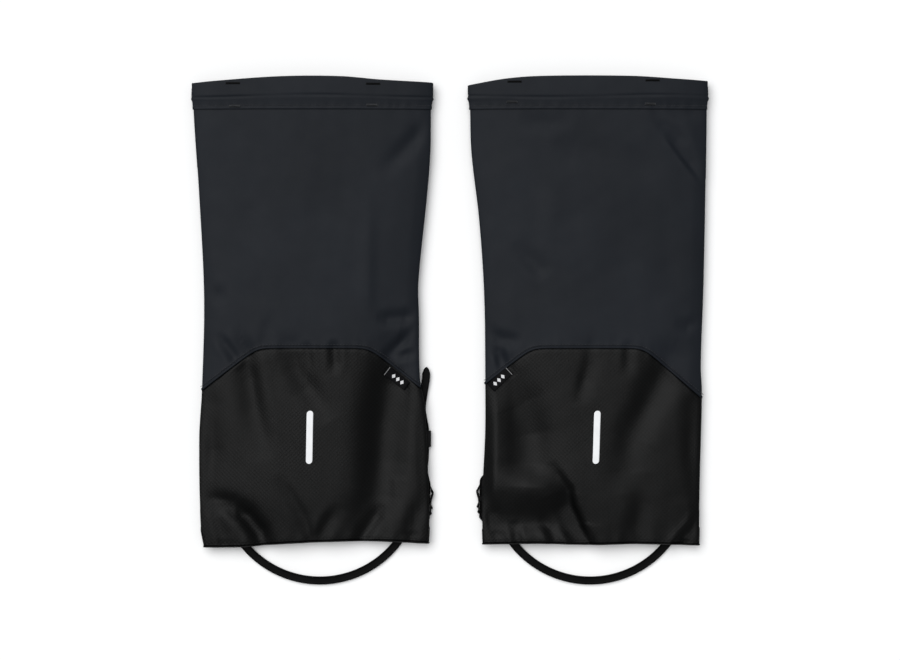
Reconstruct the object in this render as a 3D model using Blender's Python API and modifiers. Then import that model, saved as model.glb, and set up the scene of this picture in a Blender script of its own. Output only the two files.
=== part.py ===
"""A pair of full-height hiking gaiters, laid flat on a table side by side, calf side up.

Each gaiter is a flattened fabric tube with a slit down its front, which faces the table. A storm flap with
hook and loop tape closes the slit, webbing and a cam buckle close the cuff, a lace hook hangs at the front of
the hem, and an instep strap runs from a rivet on one side, under the boot, to a buckle on the other.

Lengths in this file are millimetres, and add_part() writes them as metres. Each gaiter is described in its own
frame: x runs across it from its centre line towards the other gaiter, y runs up the leg and z up from the
table. The left gaiter keeps x, and the right gaiter is turned over left to right.
"""

import math

import bmesh
import bpy
from mathutils import Matrix, Vector

MM = 0.001
GAP = 0.3                   # between pieces that touch or are sewn together
FABRIC = 1.0                # wall of the shells
PAIR_SPACING = 253.5        # between the centre lines of the two gaiters
ORIGIN = (-0.57, 0.495)     # the middle of the whole pair, measured from the middle of the two centre lines

# Places along the leg.
HEM_BAND_HEIGHT = 10.0
CUFF_FOOT = 205.0           # foot of the cuff channel
SEAM_CREST = -15.5          # crest of the arched seam on the calf
SEAM_SHOULDER = 52.0        # distance from the centre line at which the seam turns down
SEAM_SLOPE = 0.78
SEAM_ROUNDING = 4.0

# The tube's section.
EDGE_HEIGHT = 9.0           # height of the folded side edges above the table
CROWN = [(-200, 13.6), (-150, 17.0), (-20, 17.6), (120, 16.6), (206, 16.0), (240, 16.0)]
FLOOR_SIDE = [(-205, 1.2), (-186, 1.2), (-178, 0.5), (180, 0.5), (203, 1.8), (240, 1.8)]
FLAT_SHARE = 0.68           # share of the half width over which the front lies flat
CLOSURE_HALF, CLOSURE_FADE = 34.0, 13.0
CLOSURE_HEIGHT = 5.6

# The closure's layers, from the table up.
FLAP_BASE, FLAP_THICKNESS = 1.6, 1.0
TAPE_THICKNESS = 0.8
FLAP_HINGE_X, FLAP_FREE_X = -31.0, 32.0
FLAP_FOOT, FLAP_HEAD = -173.0, 201.0
TAPE_NEAR_X, TAPE_FAR_X = 4.5, 29.0
TAPE_FOOT, TAPE_HEAD = -153.0, 180.0
SNAP_X = 17.0
SNAP_YS = {"bottom": -163.0, "top": 191.0}

# The instep strap.
STRAP_WIDTH, STRAP_THICKNESS = 7.4, 2.6
STRAP_RADIUS = 91.0
STRAP_HALF_ANGLE = math.radians(49.8)
STRAP_ARC_CENTRE_Y = -141.3
STRAP_FOLD_Y = -203.5       # line across which the free loop folds up
THREADED_BASE = 1.3         # underside of the strap in the buckle and the keeper
RIVET_BACK = 34.0           # from the fold line to the rivet, along the strap
BUCKLE_LENGTH, BUCKLE_WIDTH, BUCKLE_HEIGHT = 28.0, 13.4, 5.2
BUCKLE_BAR = 3.0
BUCKLE_OUTER_SIDE = [(4.6, -14), (5.9, -12.4), (5.1, -10.8), (5.1, -8.0), (6.0, -8.4), (6.6, -7.4), (5.0, -4.0),
                     (5.2, -0.5), (6.9, 5.6), (7.0, 7.2), (3.2, 14)]
TAB_BAR_OUTSET, TAB_BAR_WIDTH = 4.2, 2.0
TAB_BAR_FOOT, TAB_BAR_HEAD = 1.7, 3.7
KEEPER_LENGTH, KEEPER_WALL = 15.0, 1.0

# The cuff.
CUFF_THICKNESS, CUFF_WALL = 3.4, 0.9
CUFF_MOUTH = 20.0           # half width of the gap in the cuff that the buckle bridges
WEBBING_WIDTH, WEBBING_THICKNESS = 12.6, 1.1
WEBBING_Y = 216.3

# The lace hook.
HOOK_AXIS_Y, HOOK_AXIS_Z = -190.0, 1.9

COLOURS = {
    "shell": (0.030, 0.034, 0.043, 0.62, 0.0),
    "scuff": (0.014, 0.014, 0.015, 0.70, 0.0),
    "webbing": (0.010, 0.010, 0.011, 0.80, 0.0),
    "strap": (0.012, 0.012, 0.013, 0.35, 0.0),
    "plastic": (0.015, 0.015, 0.016, 0.45, 0.0),
    "metal": (0.30, 0.31, 0.33, 0.35, 1.0),
    "reflective": (0.86, 0.88, 0.91, 0.40, 0.0),
    "label": (0.012, 0.012, 0.014, 0.75, 0.0),
}


class Gaiter:
    """What differs between the two gaiters. Edges are (y, half width), hem and top are (x, y)."""

    def __init__(self, name, side, inner, outer, hem, top, outer_slope, strap_x, tail_x, buckle, label, strip):
        self.name = name
        self.side = side
        self.inner = inner
        self.outer = outer
        self.hem = hem
        self.top = top
        self.outer_slope = outer_slope  # slope of the arched seam on the outer side
        self.strap_x = strap_x      # centre of the instep strap's arc
        self.tail_x = tail_x        # where the strap's free tail runs along the side edge
        self.buckle = buckle        # (x, y, lean in degrees) of the instep buckle
        self.label = label          # (centre x, centre y, lean in degrees)
        self.strip = strip          # x of the reflective strip at its foot and head

    def world(self, point):
        x, y, z = point
        return Vector((self.side * (x - PAIR_SPACING / 2) - ORIGIN[0], y - ORIGIN[1], z)) * MM


LEFT = Gaiter(
    "left", 1,
    inner=[(-200, 106.5), (-170, 107.5), (-70, 103.5), (-45, 99), (15, 98), (45, 97.5), (125, 105.5),
           (165, 108.5), (205, 109), (232, 109.3)],
    outer=[(-200, 101.5), (-180, 105), (-100, 106.5), (-55, 104), (30, 102), (125, 106.5), (205, 111.6),
           (232, 111.3)],
    hem=[(-110, -200.5), (-68, -200.0), (-20, -196.5), (50, -194.5), (108, -197.0)],
    top=[(-113, 229), (-90, 231), (-30, 235), (25, 235), (62, 232), (111, 229.5)],
    outer_slope=0.76, strap_x=5.3, tail_x=103.1, buckle=(104.0, -157.3, 2.0), label=(77.3, -44.4, -37.5),
    strip=(-3.9, -2.7),
)
RIGHT = Gaiter(
    "right", -1,
    inner=[(-200, 96.8), (-160, 98), (-95, 95.2), (-60, 95.0), (30, 96), (100, 100.5), (165, 107.8),
           (205, 109), (232, 109.3)],
    outer=[(-200, 103.5), (-130, 104.8), (-60, 106.6), (-30, 105.6), (40, 108), (150, 110.2), (205, 110.8),
           (232, 110.0)],
    hem=[(-110, -198.8), (-45, -197.0), (0, -198.0), (45, -196.8), (100, -197.8)],
    top=[(-112, 231), (-80, 233), (-40, 235.3), (40, 235.3), (75, 233), (111, 227)],
    outer_slope=0.86, strap_x=-3.0, tail_x=88.5, buckle=(96.0, -156.0, 0.0), label=(79.8, -46.4, -41.0),
    strip=(-7.0, -9.1),
)


def clamp(value, low=0.0, high=1.0):
    return max(low, min(high, value))


def ease(t):
    t = clamp(t)
    return t * t * (3 - 2 * t)


def curve_value(points, at):
    """A smooth curve through (position, value) pairs, level with its end points beyond them."""
    if at <= points[0][0]:
        return points[0][1]
    if at >= points[-1][0]:
        return points[-1][1]
    i = next(k for k in range(len(points) - 1) if points[k + 1][0] >= at)
    (x0, y0), (x1, y1) = points[i], points[i + 1]
    step = x1 - x0

    def slope(k):
        a, b = max(k - 1, 0), min(k + 1, len(points) - 1)
        return (points[b][1] - points[a][1]) / (points[b][0] - points[a][0])

    t = (at - x0) / step
    return (
        (2 * t**3 - 3 * t**2 + 1) * y0 + (t**3 - 2 * t**2 + t) * step * slope(i)
        + (3 * t**2 - 2 * t**3) * y1 + (t**3 - t**2) * step * slope(i + 1)
    )


def across(gaiter, share, y):
    """x at a share of the half width, from -1 at the outer edge to 1 at the inner edge."""
    return share * curve_value(gaiter.inner if share > 0 else gaiter.outer, y)


def share_of(gaiter, x, y):
    return x / curve_value(gaiter.inner if x > 0 else gaiter.outer, y)


def calf_height(gaiter, x, y):
    """Height of the calf side's middle surface."""
    share = clamp(abs(share_of(gaiter, x, y)))
    crown = curve_value(CROWN, y)
    return EDGE_HEIGHT + (crown - EDGE_HEIGHT) * math.sqrt(1 - share**2.2)


def pad(value, low, high, fade):
    """1 between low and high, falling to 0 over fade on both sides."""
    return ease((value - low) / fade + 1) * ease((high - value) / fade + 1)


def front_height(gaiter, x, y):
    """Height of the front's middle surface: flat on the table, and raised over what lies under it."""
    share = clamp(abs(share_of(gaiter, x, y)))
    base = max(curve_value(FLOOR_SIDE, y), FABRIC / 2)
    rise = clamp((share - FLAT_SHARE) / (1 - FLAT_SHARE))
    height = base + (EDGE_HEIGHT - base) * (1 - math.sqrt(1 - rise**2))
    rivet = rivet_place(gaiter)
    raised = (
        CLOSURE_HEIGHT * pad(x, -CLOSURE_HALF, CLOSURE_HALF, CLOSURE_FADE),
        4.1 * pad(y, -300, -176, 14),
        7.0 * pad(x, gaiter.tail_x - 13, 300, 10) * pad(y, -184, -22, 12),
        6.3 * pad(x, gaiter.buckle[0] - 28, 300, 10) * pad(y, -174, -140, 10),
        7.6 * pad(x, -300, rivet.x + 13, 12) * pad(y, -192, rivet.y + 14, 10),
    )
    return min(max(height, *raised), EDGE_HEIGHT)


def seam_height(gaiter, x):
    """The arched seam's place along the leg, on the calf."""
    past = (abs(x) - SEAM_SHOULDER) / SEAM_ROUNDING
    slope = SEAM_SLOPE if x > 0 else gaiter.outer_slope
    return SEAM_CREST - slope * SEAM_ROUNDING * math.log1p(math.exp(past))


def stations():
    """(share, on the calf) once around the tube, from the slit over the calf and back to the slit."""
    front = [0.02, 0.15, 0.27, 0.34, 0.41, 0.486, 0.57, 0.67, 0.76, 0.84, 0.9, 0.95, 0.98]
    calf = [math.sin(math.radians(a)) for a in (90, 78, 67, 56, 44, 30, 15, 0)]
    calf += [-s for s in reversed(calf[:-1])]
    return [(s, False) for s in front] + [(s, True) for s in calf] + [(-s, False) for s in reversed(front)]


def tube_point(gaiter, share, calf, y):
    x = across(gaiter, share, y)
    height = calf_height if calf else front_height
    return Vector((x, y, height(gaiter, x, y)))


def material(name):
    made = bpy.data.materials.get(name)
    if made:
        return made
    red, green, blue, roughness, metallic = COLOURS[name]
    made = bpy.data.materials.new(name)
    made.use_nodes = True
    shader = made.node_tree.nodes["Principled BSDF"]
    shader.inputs["Base Color"].default_value = (red, green, blue, 1)
    shader.inputs["Roughness"].default_value = roughness
    shader.inputs["Metallic"].default_value = metallic
    made.diffuse_color = (red, green, blue, 1)
    return made


def add_part(gaiter, name, bm, look, pivot=(0, 0, 0), group="gaiters", smooth=True):
    """Writes a bmesh, in the gaiter's frame and millimetres, as an object whose origin is at pivot."""
    origin = gaiter.world(pivot)
    for vertex in bm.verts:
        vertex.co = gaiter.world(vertex.co) - origin
    bm.normal_update()
    if all(edge.is_manifold for edge in bm.edges):
        bmesh.ops.recalc_face_normals(bm, faces=bm.faces)
        if bm.calc_volume(signed=True) < 0:
            bmesh.ops.reverse_faces(bm, faces=bm.faces)
    mesh = bpy.data.meshes.new(f"{gaiter.name}_{name}")
    bm.to_mesh(mesh)
    bm.free()
    if smooth:
        mesh.shade_smooth()
        mesh.set_sharp_from_angle(angle=math.radians(40))
    part = bpy.data.objects.new(f"{gaiter.name}_{name}", mesh)
    part.location = origin
    part.data.materials.append(material(look))
    bpy.data.collections[group].objects.link(part)
    return part


def cut(gaiter, part, name, bm):
    """Cuts a bmesh, in the gaiter's frame, from a part."""
    cutter = add_part(gaiter, name, bm, "plastic", group="cutters")
    cutter.hide_render = True
    cutter.display_type = "WIRE"
    modifier = part.modifiers.new(name, "BOOLEAN")
    modifier.object = cutter
    modifier.operation = "DIFFERENCE"


def grid(points):
    """An open sheet from rows of points."""
    bm = bmesh.new()
    rows = [[bm.verts.new(p) for p in row] for row in points]
    for lower, upper in zip(rows, rows[1:]):
        for i in range(len(lower) - 1):
            bm.faces.new((lower[i], lower[i + 1], upper[i + 1], upper[i]))
    return bm


def loft(sections):
    """A closed body through rings of points, with an n-gon on each end."""
    bm = bmesh.new()
    rings = [[bm.verts.new(p) for p in section] for section in sections]
    for lower, upper in zip(rings, rings[1:]):
        for i in range(len(lower)):
            j = (i + 1) % len(lower)
            bm.faces.new((lower[i], lower[j], upper[j], upper[i]))
    bm.faces.new(list(reversed(rings[0])))
    bm.faces.new(rings[-1])
    return bm


def box(low, high):
    """A cuboid between two corners."""
    bm = bmesh.new()
    bmesh.ops.create_cube(bm, size=1)
    low, high = Vector(low), Vector(high)
    for vertex in bm.verts:
        vertex.co = (low + high) / 2 + Vector(a * b for a, b in zip(vertex.co, high - low))
    return bm


def cylinder(centre, axis, radius, length, sides=20):
    """A cylinder about its centre."""
    bm = bmesh.new()
    bmesh.ops.create_cone(bm, cap_ends=True, segments=sides, radius1=radius, radius2=radius, depth=length)
    turn = Vector((0, 0, 1)).rotation_difference(Vector(axis)).to_matrix().to_4x4()
    bmesh.ops.transform(bm, matrix=Matrix.Translation(centre) @ turn, verts=bm.verts)
    return bm


def turned(centre, profile, sides=24):
    """A body turned about a vertical axis, from (radius, height) pairs that start and end on the axis."""
    bm = bmesh.new()
    cx, cy = centre
    rings = []
    for radius, height in profile:
        if radius == 0:
            rings.append([bm.verts.new((cx, cy, height))])
            continue
        turns = (2 * math.pi * i / sides for i in range(sides))
        rings.append([bm.verts.new((cx + radius * math.cos(a), cy + radius * math.sin(a), height)) for a in turns])
    for lower, upper in zip(rings, rings[1:]):
        for i in range(sides):
            j = (i + 1) % sides
            corners = [lower[i % len(lower)], lower[j % len(lower)], upper[j % len(upper)], upper[i % len(upper)]]
            bm.faces.new(list(dict.fromkeys(corners)))
    return bm


def slab_on_calf(gaiter, across_steps, along_steps, place, lift, thickness):
    """A thin patch that follows the calf. place(u, v) gives x and y for u and v from 0 to 1."""
    def point(u, v, height):
        x, y = place(u, v)
        return Vector((x, y, calf_height(gaiter, x, y) + height))

    sections = []
    for j in range(along_steps + 1):
        v = j / along_steps
        steps = [i / across_steps for i in range(across_steps + 1)]
        under = [point(u, v, lift) for u in steps]
        over = [point(u, v, lift + thickness) for u in reversed(steps)]
        sections.append(under + over)
    return loft(sections)


def bevel(part, width, segments=2, angle=40):
    modifier = part.modifiers.new("rounding", "BEVEL")
    modifier.width = width * MM
    modifier.segments = segments
    modifier.limit_method = "ANGLE"
    modifier.angle_limit = math.radians(angle)


def solidify(part, thickness):
    modifier = part.modifiers.new("wall", "SOLIDIFY")
    modifier.thickness = thickness * MM
    modifier.offset = 0


# Fabric ------------------------------------------------------------------------------------------------------

def edge_heights(gaiter, share, calf):
    """(foot of the lower shell, seam, head of the upper shell) at one station."""
    hem = curve_value(gaiter.hem, across(gaiter, share, -100)) + HEM_BAND_HEIGHT + GAP
    edge = share if calf else math.copysign(1, share)
    return hem, seam_height(gaiter, across(gaiter, edge, -50)), CUFF_FOOT - GAP


def shells(gaiter):
    """The soft upper shell and the tough lower one, each open along the slit."""
    around = stations()
    for name, look, rows in (("lower_shell", "scuff", 9), ("upper_shell", "shell", 9)):
        sheet = []
        for row in range(rows + 1):
            line = []
            for share, calf in around:
                hem, seam, head = edge_heights(gaiter, share, calf)
                low, high = (hem, seam - GAP) if name == "lower_shell" else (seam + GAP, head)
                line.append(tube_point(gaiter, share, calf, low + (high - low) * row / rows))
            sheet.append(line)
        solidify(add_part(gaiter, name, grid(sheet), look), FABRIC)


def hem_band(gaiter):
    """The folded and stitched band around the foot of the lower shell."""
    sheet = []
    for row in range(2):
        line = []
        for share, calf in stations():
            y = curve_value(gaiter.hem, across(gaiter, share, -100)) + HEM_BAND_HEIGHT * row
            line.append(tube_point(gaiter, share, calf, y))
        sheet.append(line)
    solidify(add_part(gaiter, "hem_band", grid(sheet), "scuff"), 1.6)


def seam_piping(gaiter):
    """The raised folded seam that arches over the calf from edge to edge."""
    sections = []
    lift = FABRIC / 2 + GAP + 0.05
    steps = 48
    for i in range(steps + 1):
        angle = math.pi * (i / steps - 0.5) * 0.94
        x = across(gaiter, math.sin(angle), -50)
        y = seam_height(gaiter, x)
        slope = (calf_height(gaiter, x + 0.1, y) - calf_height(gaiter, x - 0.1, y)) / 0.2
        normal = Vector((-slope, 0, 1)).normalized()
        foot = Vector((x, y, calf_height(gaiter, x, y)))
        ring = [(-1.5, 0), (1.5, 0), (1.1, 0.9), (-1.1, 0.9)]
        sections.append([foot + normal * (lift + rise) + Vector((0, dy, 0)) for dy, rise in ring])
    add_part(gaiter, "seam_piping", loft(sections), "shell")


def cuff_sections(gaiter, thickness, foot_inset, head_inset):
    """Rings of four points, once around the cuff, from one mouth to the other."""
    middle, ys = [], []
    for share, calf in stations():
        y = CUFF_FOOT + 13
        if not calf and abs(across(gaiter, share, y)) < CUFF_MOUTH:
            continue
        middle.append(tube_point(gaiter, share, calf, y))
        ys.append(curve_value(gaiter.top, middle[-1].x))
    for end in (0, -1):
        x = math.copysign(CUFF_MOUTH, middle[end].x)
        middle.insert(0 if end == 0 else len(middle), Vector((x, CUFF_FOOT + 13, front_height(gaiter, x, 218))))
        ys.insert(0 if end == 0 else len(ys), curve_value(gaiter.top, x))
    rings = []
    for i, point in enumerate(middle):
        run = middle[min(i + 1, len(middle) - 1)] - middle[max(i - 1, 0)]
        normal = Vector((run.z, 0, -run.x)).normalized() * thickness / 2
        foot, head = CUFF_FOOT + foot_inset, ys[i] - head_inset
        corners = ((foot, -1), (head, -1), (head, 1), (foot, 1))
        rings.append([Vector((point.x, y, point.z)) + normal * side for y, side in corners])
    return rings


def cuff(gaiter):
    """The folded channel around the top, open at both mouths on the front."""
    outer = cuff_sections(gaiter, CUFF_THICKNESS, 0, 0)
    inner = cuff_sections(gaiter, CUFF_THICKNESS - 2 * CUFF_WALL, 2.5, 2.0)
    bm = bmesh.new()
    skins = [[[bm.verts.new(p) for p in ring] for ring in skin] for skin in (outer, inner)]
    for skin in skins:
        for lower, upper in zip(skin, skin[1:]):
            for i in range(4):
                j = (i + 1) % 4
                bm.faces.new((lower[i], lower[j], upper[j], upper[i]))
    for end in (0, -1):
        for i in range(4):
            j = (i + 1) % 4
            bm.faces.new((skins[0][end][i], skins[0][end][j], skins[1][end][j], skins[1][end][i]))
    add_part(gaiter, "cuff", bm, "shell")


# Front closure -----------------------------------------------------------------------------------------------

def storm_flap(gaiter):
    """The flap that covers the slit. It turns about its sewn edge."""
    hinge = (FLAP_HINGE_X, 0, FLAP_BASE + FLAP_THICKNESS / 2)
    top = FLAP_BASE + FLAP_THICKNESS
    flap = add_part(
        gaiter, "storm_flap", box((FLAP_HINGE_X, FLAP_FOOT, FLAP_BASE), (FLAP_FREE_X, FLAP_HEAD, top)),
        "shell", hinge, smooth=False,
    )
    for where, y in SNAP_YS.items():
        cut(gaiter, flap, f"{where}_snap_hole", cylinder((SNAP_X, y, top), (0, 0, 1), 2.4, 6, 16))
    tape = add_part(
        gaiter, "hook_tape",
        box((TAPE_NEAR_X, TAPE_FOOT, top + GAP), (TAPE_FAR_X, TAPE_HEAD, top + GAP + TAPE_THICKNESS)),
        "webbing", hinge, smooth=False,
    )
    bevel(tape, 0.2, 1)


def loop_tape(gaiter):
    """The soft half of the closure, sewn beside the slit."""
    base = FLAP_BASE + FLAP_THICKNESS + 2 * GAP + TAPE_THICKNESS
    tape = add_part(
        gaiter, "loop_tape",
        box((TAPE_NEAR_X, TAPE_FOOT, base), (TAPE_FAR_X, TAPE_HEAD, base + TAPE_THICKNESS)),
        "webbing", smooth=False,
    )
    bevel(tape, 0.2, 1)


def snaps(gaiter):
    """Two snap fasteners: a cap with its socket on the flap, and a stud on the shell."""
    hinge = (FLAP_HINGE_X, 0, FLAP_BASE + FLAP_THICKNESS / 2)
    top = FLAP_BASE + FLAP_THICKNESS
    cap = [
        (0, 0.1), (3.6, 0.25), (5.6, 0.8), (5.8, 1.3), (2.1, 1.3), (2.1, top + GAP), (4.4, top + GAP),
        (4.4, top + 1.2), (2.7, top + 1.2), (2.6, top + 0.7), (0, top + 0.7),
    ]
    shell_base = CLOSURE_HEIGHT - FABRIC / 2
    stud = [
        (0, top + 0.95), (1.5, top + 0.95), (2.0, top + 1.15), (1.8, top + 1.5), (4.6, top + 1.5),
        (4.6, shell_base - GAP), (0, shell_base - GAP),
    ]
    for where, y in SNAP_YS.items():
        add_part(gaiter, f"{where}_snap_cap", turned((SNAP_X, y), cap), "metal", hinge)
        add_part(gaiter, f"{where}_snap_stud", turned((SNAP_X, y), stud), "metal")


def cuff_buckle(gaiter):
    """A cam buckle across the cuff's mouth, with its lever, pin and tab, and the webbing through it."""
    half = WEBBING_WIDTH / 2
    middle = CLOSURE_HEIGHT
    pin_x, pin_z = -3.0, 2.6
    low_y, high_y = WEBBING_Y - half - 2.4, WEBBING_Y + half + 2.4
    frame = add_part(
        gaiter, "cuff_buckle", box((-11, low_y, 1.0), (11, high_y, 8.4)), "plastic", smooth=False,
    )
    cheek = 1.7
    throat = box((-8.6, low_y + cheek, -5), (15, high_y - cheek, 6.9))
    cut(gaiter, frame, "buckle_throat", throat)
    cut(gaiter, frame, "buckle_bar_window", box((-8.6, low_y + cheek, 6), (-5.4, high_y - cheek, 12)))
    cut(gaiter, frame, "buckle_bar_under", box((-15, low_y + cheek, -5), (-8, high_y - cheek, 5.2)))
    cut(gaiter, frame, "buckle_bar_over", box((-15, low_y + cheek, 7.2), (-8, high_y - cheek, 12)))
    cut(gaiter, frame, "buckle_pin_hole", cylinder((pin_x, WEBBING_Y, pin_z), (0, 1, 0), 1.05, 40, 24))
    length = high_y - low_y - 0.4
    add_part(gaiter, "cuff_buckle_pin", cylinder((pin_x, WEBBING_Y, pin_z), (0, 1, 0), 1.0, length, 24), "metal")

    outline = [(-4.9, 2.6), (-4.3, 1.2), (-3.0, 0.7), (8.8, 0.7), (9.6, 1.3), (9.6, 2.3), (8.8, 2.6),
               (0.2, 2.8), (-1.2, 4.3), (-3.0, 4.6), (-4.3, 4.0)]
    ends = (low_y + cheek + 0.3, high_y - cheek - 0.3)
    lever = add_part(
        gaiter, "cuff_cam_lever", loft([[Vector((x, y, z)) for x, z in outline] for y in ends]),
        "plastic", (pin_x, WEBBING_Y, pin_z), smooth=False,
    )
    cut(gaiter, lever, "lever_pin_hole", cylinder((pin_x, WEBBING_Y, pin_z), (0, 1, 0), 1.05, 40, 24))

    tab = add_part(
        gaiter, "cuff_buckle_tab",
        box((-CUFF_MOUTH + 0.6, low_y + cheek + 0.5, 3.9), (-6.6, high_y - cheek - 0.5, 8.3)),
        "webbing", smooth=False,
    )
    cut(gaiter, tab, "tab_bar_hole", box((-11.3, low_y - 1, 4.9), (-8.2, high_y + 1, 7.5)))
    webbing_run(gaiter, middle)


def webbing_run(gaiter, middle):
    """The webbing, from inside the left mouth of the cuff around the leg and out through the buckle."""
    half = WEBBING_WIDTH / 2 - 0.3
    centres = [(ring[0] + ring[3]) / 2 for ring in cuff_sections(gaiter, WEBBING_THICKNESS, 0, 0)]
    if centres[0].x < 0:
        centres.reverse()
    tail = [(CUFF_MOUTH - 4, middle), (12, middle), (1, middle + 0.15), (-3.2, middle + 0.15), (-4.7, 4.6)]
    tail += [(-6.2, 3.3), (-12, 2.5), (-20, 1.9), (-33, 1.6)]
    points = [Vector((x, 0, z)) for x, z in reversed(tail)] + centres
    points.pop()
    sections = []
    for i, point in enumerate(points):
        run = points[min(i + 1, len(points) - 1)] - points[max(i - 1, 0)]
        normal = Vector((run.z, 0, -run.x)).normalized() * WEBBING_THICKNESS / 2
        corners = ((-half, -1), (half, -1), (half, 1), (-half, 1))
        sections.append([Vector((point.x, WEBBING_Y + y, point.z)) + normal * s for y, s in corners])
    add_part(gaiter, "cuff_webbing", loft(sections), "webbing")


def lace_hook(gaiter):
    """A bent metal hook on a webbing tab at the front of the hem. It lies tucked under the tube."""
    half, wire, outer_r, inner_r = 7.0, 0.4, 1.5, 0.7
    y0, z0 = HOOK_AXIS_Y, HOOK_AXIS_Z
    profile = [(y0 - 0.8, z0 - wire), (y0 + 12.2, z0 - wire)]
    bend_y, bend_z = y0 + 12.2, z0 - wire + outer_r
    arc = [math.radians(-90 + 180 * i / 6) for i in range(1, 7)]
    profile += [(bend_y + outer_r * math.cos(a), bend_z + outer_r * math.sin(a)) for a in arc]
    profile += [(y0 + 6.5, bend_z + outer_r), (y0 + 6.5, bend_z + inner_r)]
    profile += [(bend_y + inner_r * math.cos(a), bend_z + inner_r * math.sin(a)) for a in reversed(arc)]
    profile += [(bend_y, z0 + wire), (y0 - 0.8, z0 + wire)]
    hook = add_part(
        gaiter, "lace_hook", loft([[Vector((x, y, z)) for y, z in profile] for x in (-half, half)]),
        "metal", (0, y0, z0), smooth=False,
    )
    cut(gaiter, hook, "hook_slot", box((-5.2, y0 + 0.8, -5), (5.2, y0 + 8.0, z0 + wire + 0.1)))
    tab = add_part(
        gaiter, "lace_hook_tab", box((-4.6, y0 - 6.6, 0.1), (4.6, y0 + 2.6, 3.8)), "webbing", smooth=False,
    )
    hole = box((-20, y0 - 1.5, z0 - 1.05), (20, y0 + 1.4, z0 + 1.05))
    cut(gaiter, tab, "hook_bar_hole", hole)


# Instep strap ------------------------------------------------------------------------------------------------

def arc_end(gaiter, sign):
    """(point, unit direction up the gaiter) where the strap's arc ends and its straight run begins."""
    angle = STRAP_HALF_ANGLE
    point = Vector((
        gaiter.strap_x + sign * STRAP_RADIUS * math.sin(angle),
        STRAP_ARC_CENTRE_Y - STRAP_RADIUS * math.cos(angle),
    ))
    return point, Vector((sign * math.cos(angle), math.sin(angle)))


def fold_point(gaiter, sign):
    """Where the strap crosses the line across which it folds."""
    depth = STRAP_ARC_CENTRE_Y - STRAP_FOLD_Y
    return Vector((gaiter.strap_x + sign * math.sqrt(STRAP_RADIUS**2 - depth**2), STRAP_FOLD_Y))


def rivet_place(gaiter):
    point, direction = arc_end(gaiter, -1)
    return point + direction * RIVET_BACK


def strap_sections(route, widths=None, level_ends=(False, False)):
    """Flat rings along (x, y, underside z). A level end is cut square across the leg."""
    sections = []
    for i, (x, y, z) in enumerate(route):
        before, after = route[max(i - 1, 0)], route[min(i + 1, len(route) - 1)]
        run = Vector((after[0] - before[0], after[1] - before[1])).normalized()
        width = (widths[i] if widths else STRAP_WIDTH) / 2
        side = Vector((run.y, -run.x)) * width
        if (i == 0 and level_ends[0]) or (i == len(route) - 1 and level_ends[1]):
            side = Vector((math.copysign(width / abs(run.y), side.x), 0))
        low, high = z, z + STRAP_THICKNESS
        chamfer = 0.45
        inset = side * (1 - chamfer / width) if width > chamfer else side * 0.5
        sections.append([
            Vector((x - inset.x, y - inset.y, low)), Vector((x + inset.x, y + inset.y, low)),
            Vector((x + side.x, y + side.y, low + chamfer)), Vector((x + side.x, y + side.y, high - chamfer)),
            Vector((x + inset.x, y + inset.y, high)), Vector((x - inset.x, y - inset.y, high)),
            Vector((x - side.x, y - side.y, high - chamfer)), Vector((x - side.x, y - side.y, low + chamfer)),
        ])
    return sections


def instep_loop(gaiter):
    """The free loop that goes under the boot. It folds up about the line where the hem ends."""
    depth = STRAP_ARC_CENTRE_Y - (STRAP_FOLD_Y - GAP / 2)
    half = math.acos(depth / STRAP_RADIUS)
    steps = 26
    route = []
    for i in range(steps + 1):
        angle = half * (2 * i / steps - 1)
        x = gaiter.strap_x + STRAP_RADIUS * math.sin(angle)
        route.append((x, STRAP_ARC_CENTRE_Y - STRAP_RADIUS * math.cos(angle), 0.0))
    pivot = (gaiter.strap_x, STRAP_FOLD_Y, STRAP_THICKNESS)
    add_part(gaiter, "instep_loop", loft(strap_sections(route, level_ends=(True, True))), "strap", pivot)


def lateral_route(gaiter):
    """The strap from the fold line through its buckle and keeper to its tip: (x, y, underside z)."""
    start = fold_point(gaiter, 1)
    end, direction = arc_end(gaiter, 1)
    bend = end + direction * 13
    centre, run = buckle_place(gaiter)
    marks = [(start.x, STRAP_FOLD_Y + GAP / 2, 0.0), (end.x, end.y, 0.0), (bend.x, bend.y, 0.2)]
    for along, inward in ((-18, 1.0), (-14.3, 0), (-8, 0), (0, 0), (8, 0), (14.3, 0), (18, 1.0)):
        point = centre + run * along
        marks.append((point.x - inward, point.y, THREADED_BASE))
    tail = ((-130, -1.2), (-119, -0.3), (-108, 0), (-92, 0), (-74, -2.9), (-60, -1.6), (-46, 0.7), (-39.5, 1.1))
    return marks + [(gaiter.tail_x + offset, y, THREADED_BASE) for y, offset in tail]


def rounded_route(marks, per_span=3):
    """Points of a smooth curve through the marks, with none between the first two."""
    tracks = [[(i, mark[axis]) for i, mark in enumerate(marks)] for axis in range(3)]
    steps = [0] + [i / per_span for i in range(per_span, (len(marks) - 1) * per_span + 1)]
    return [(curve_value(tracks[0], t), curve_value(tracks[1], t), max(curve_value(tracks[2], t), 0.0))
            for t in steps]


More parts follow.
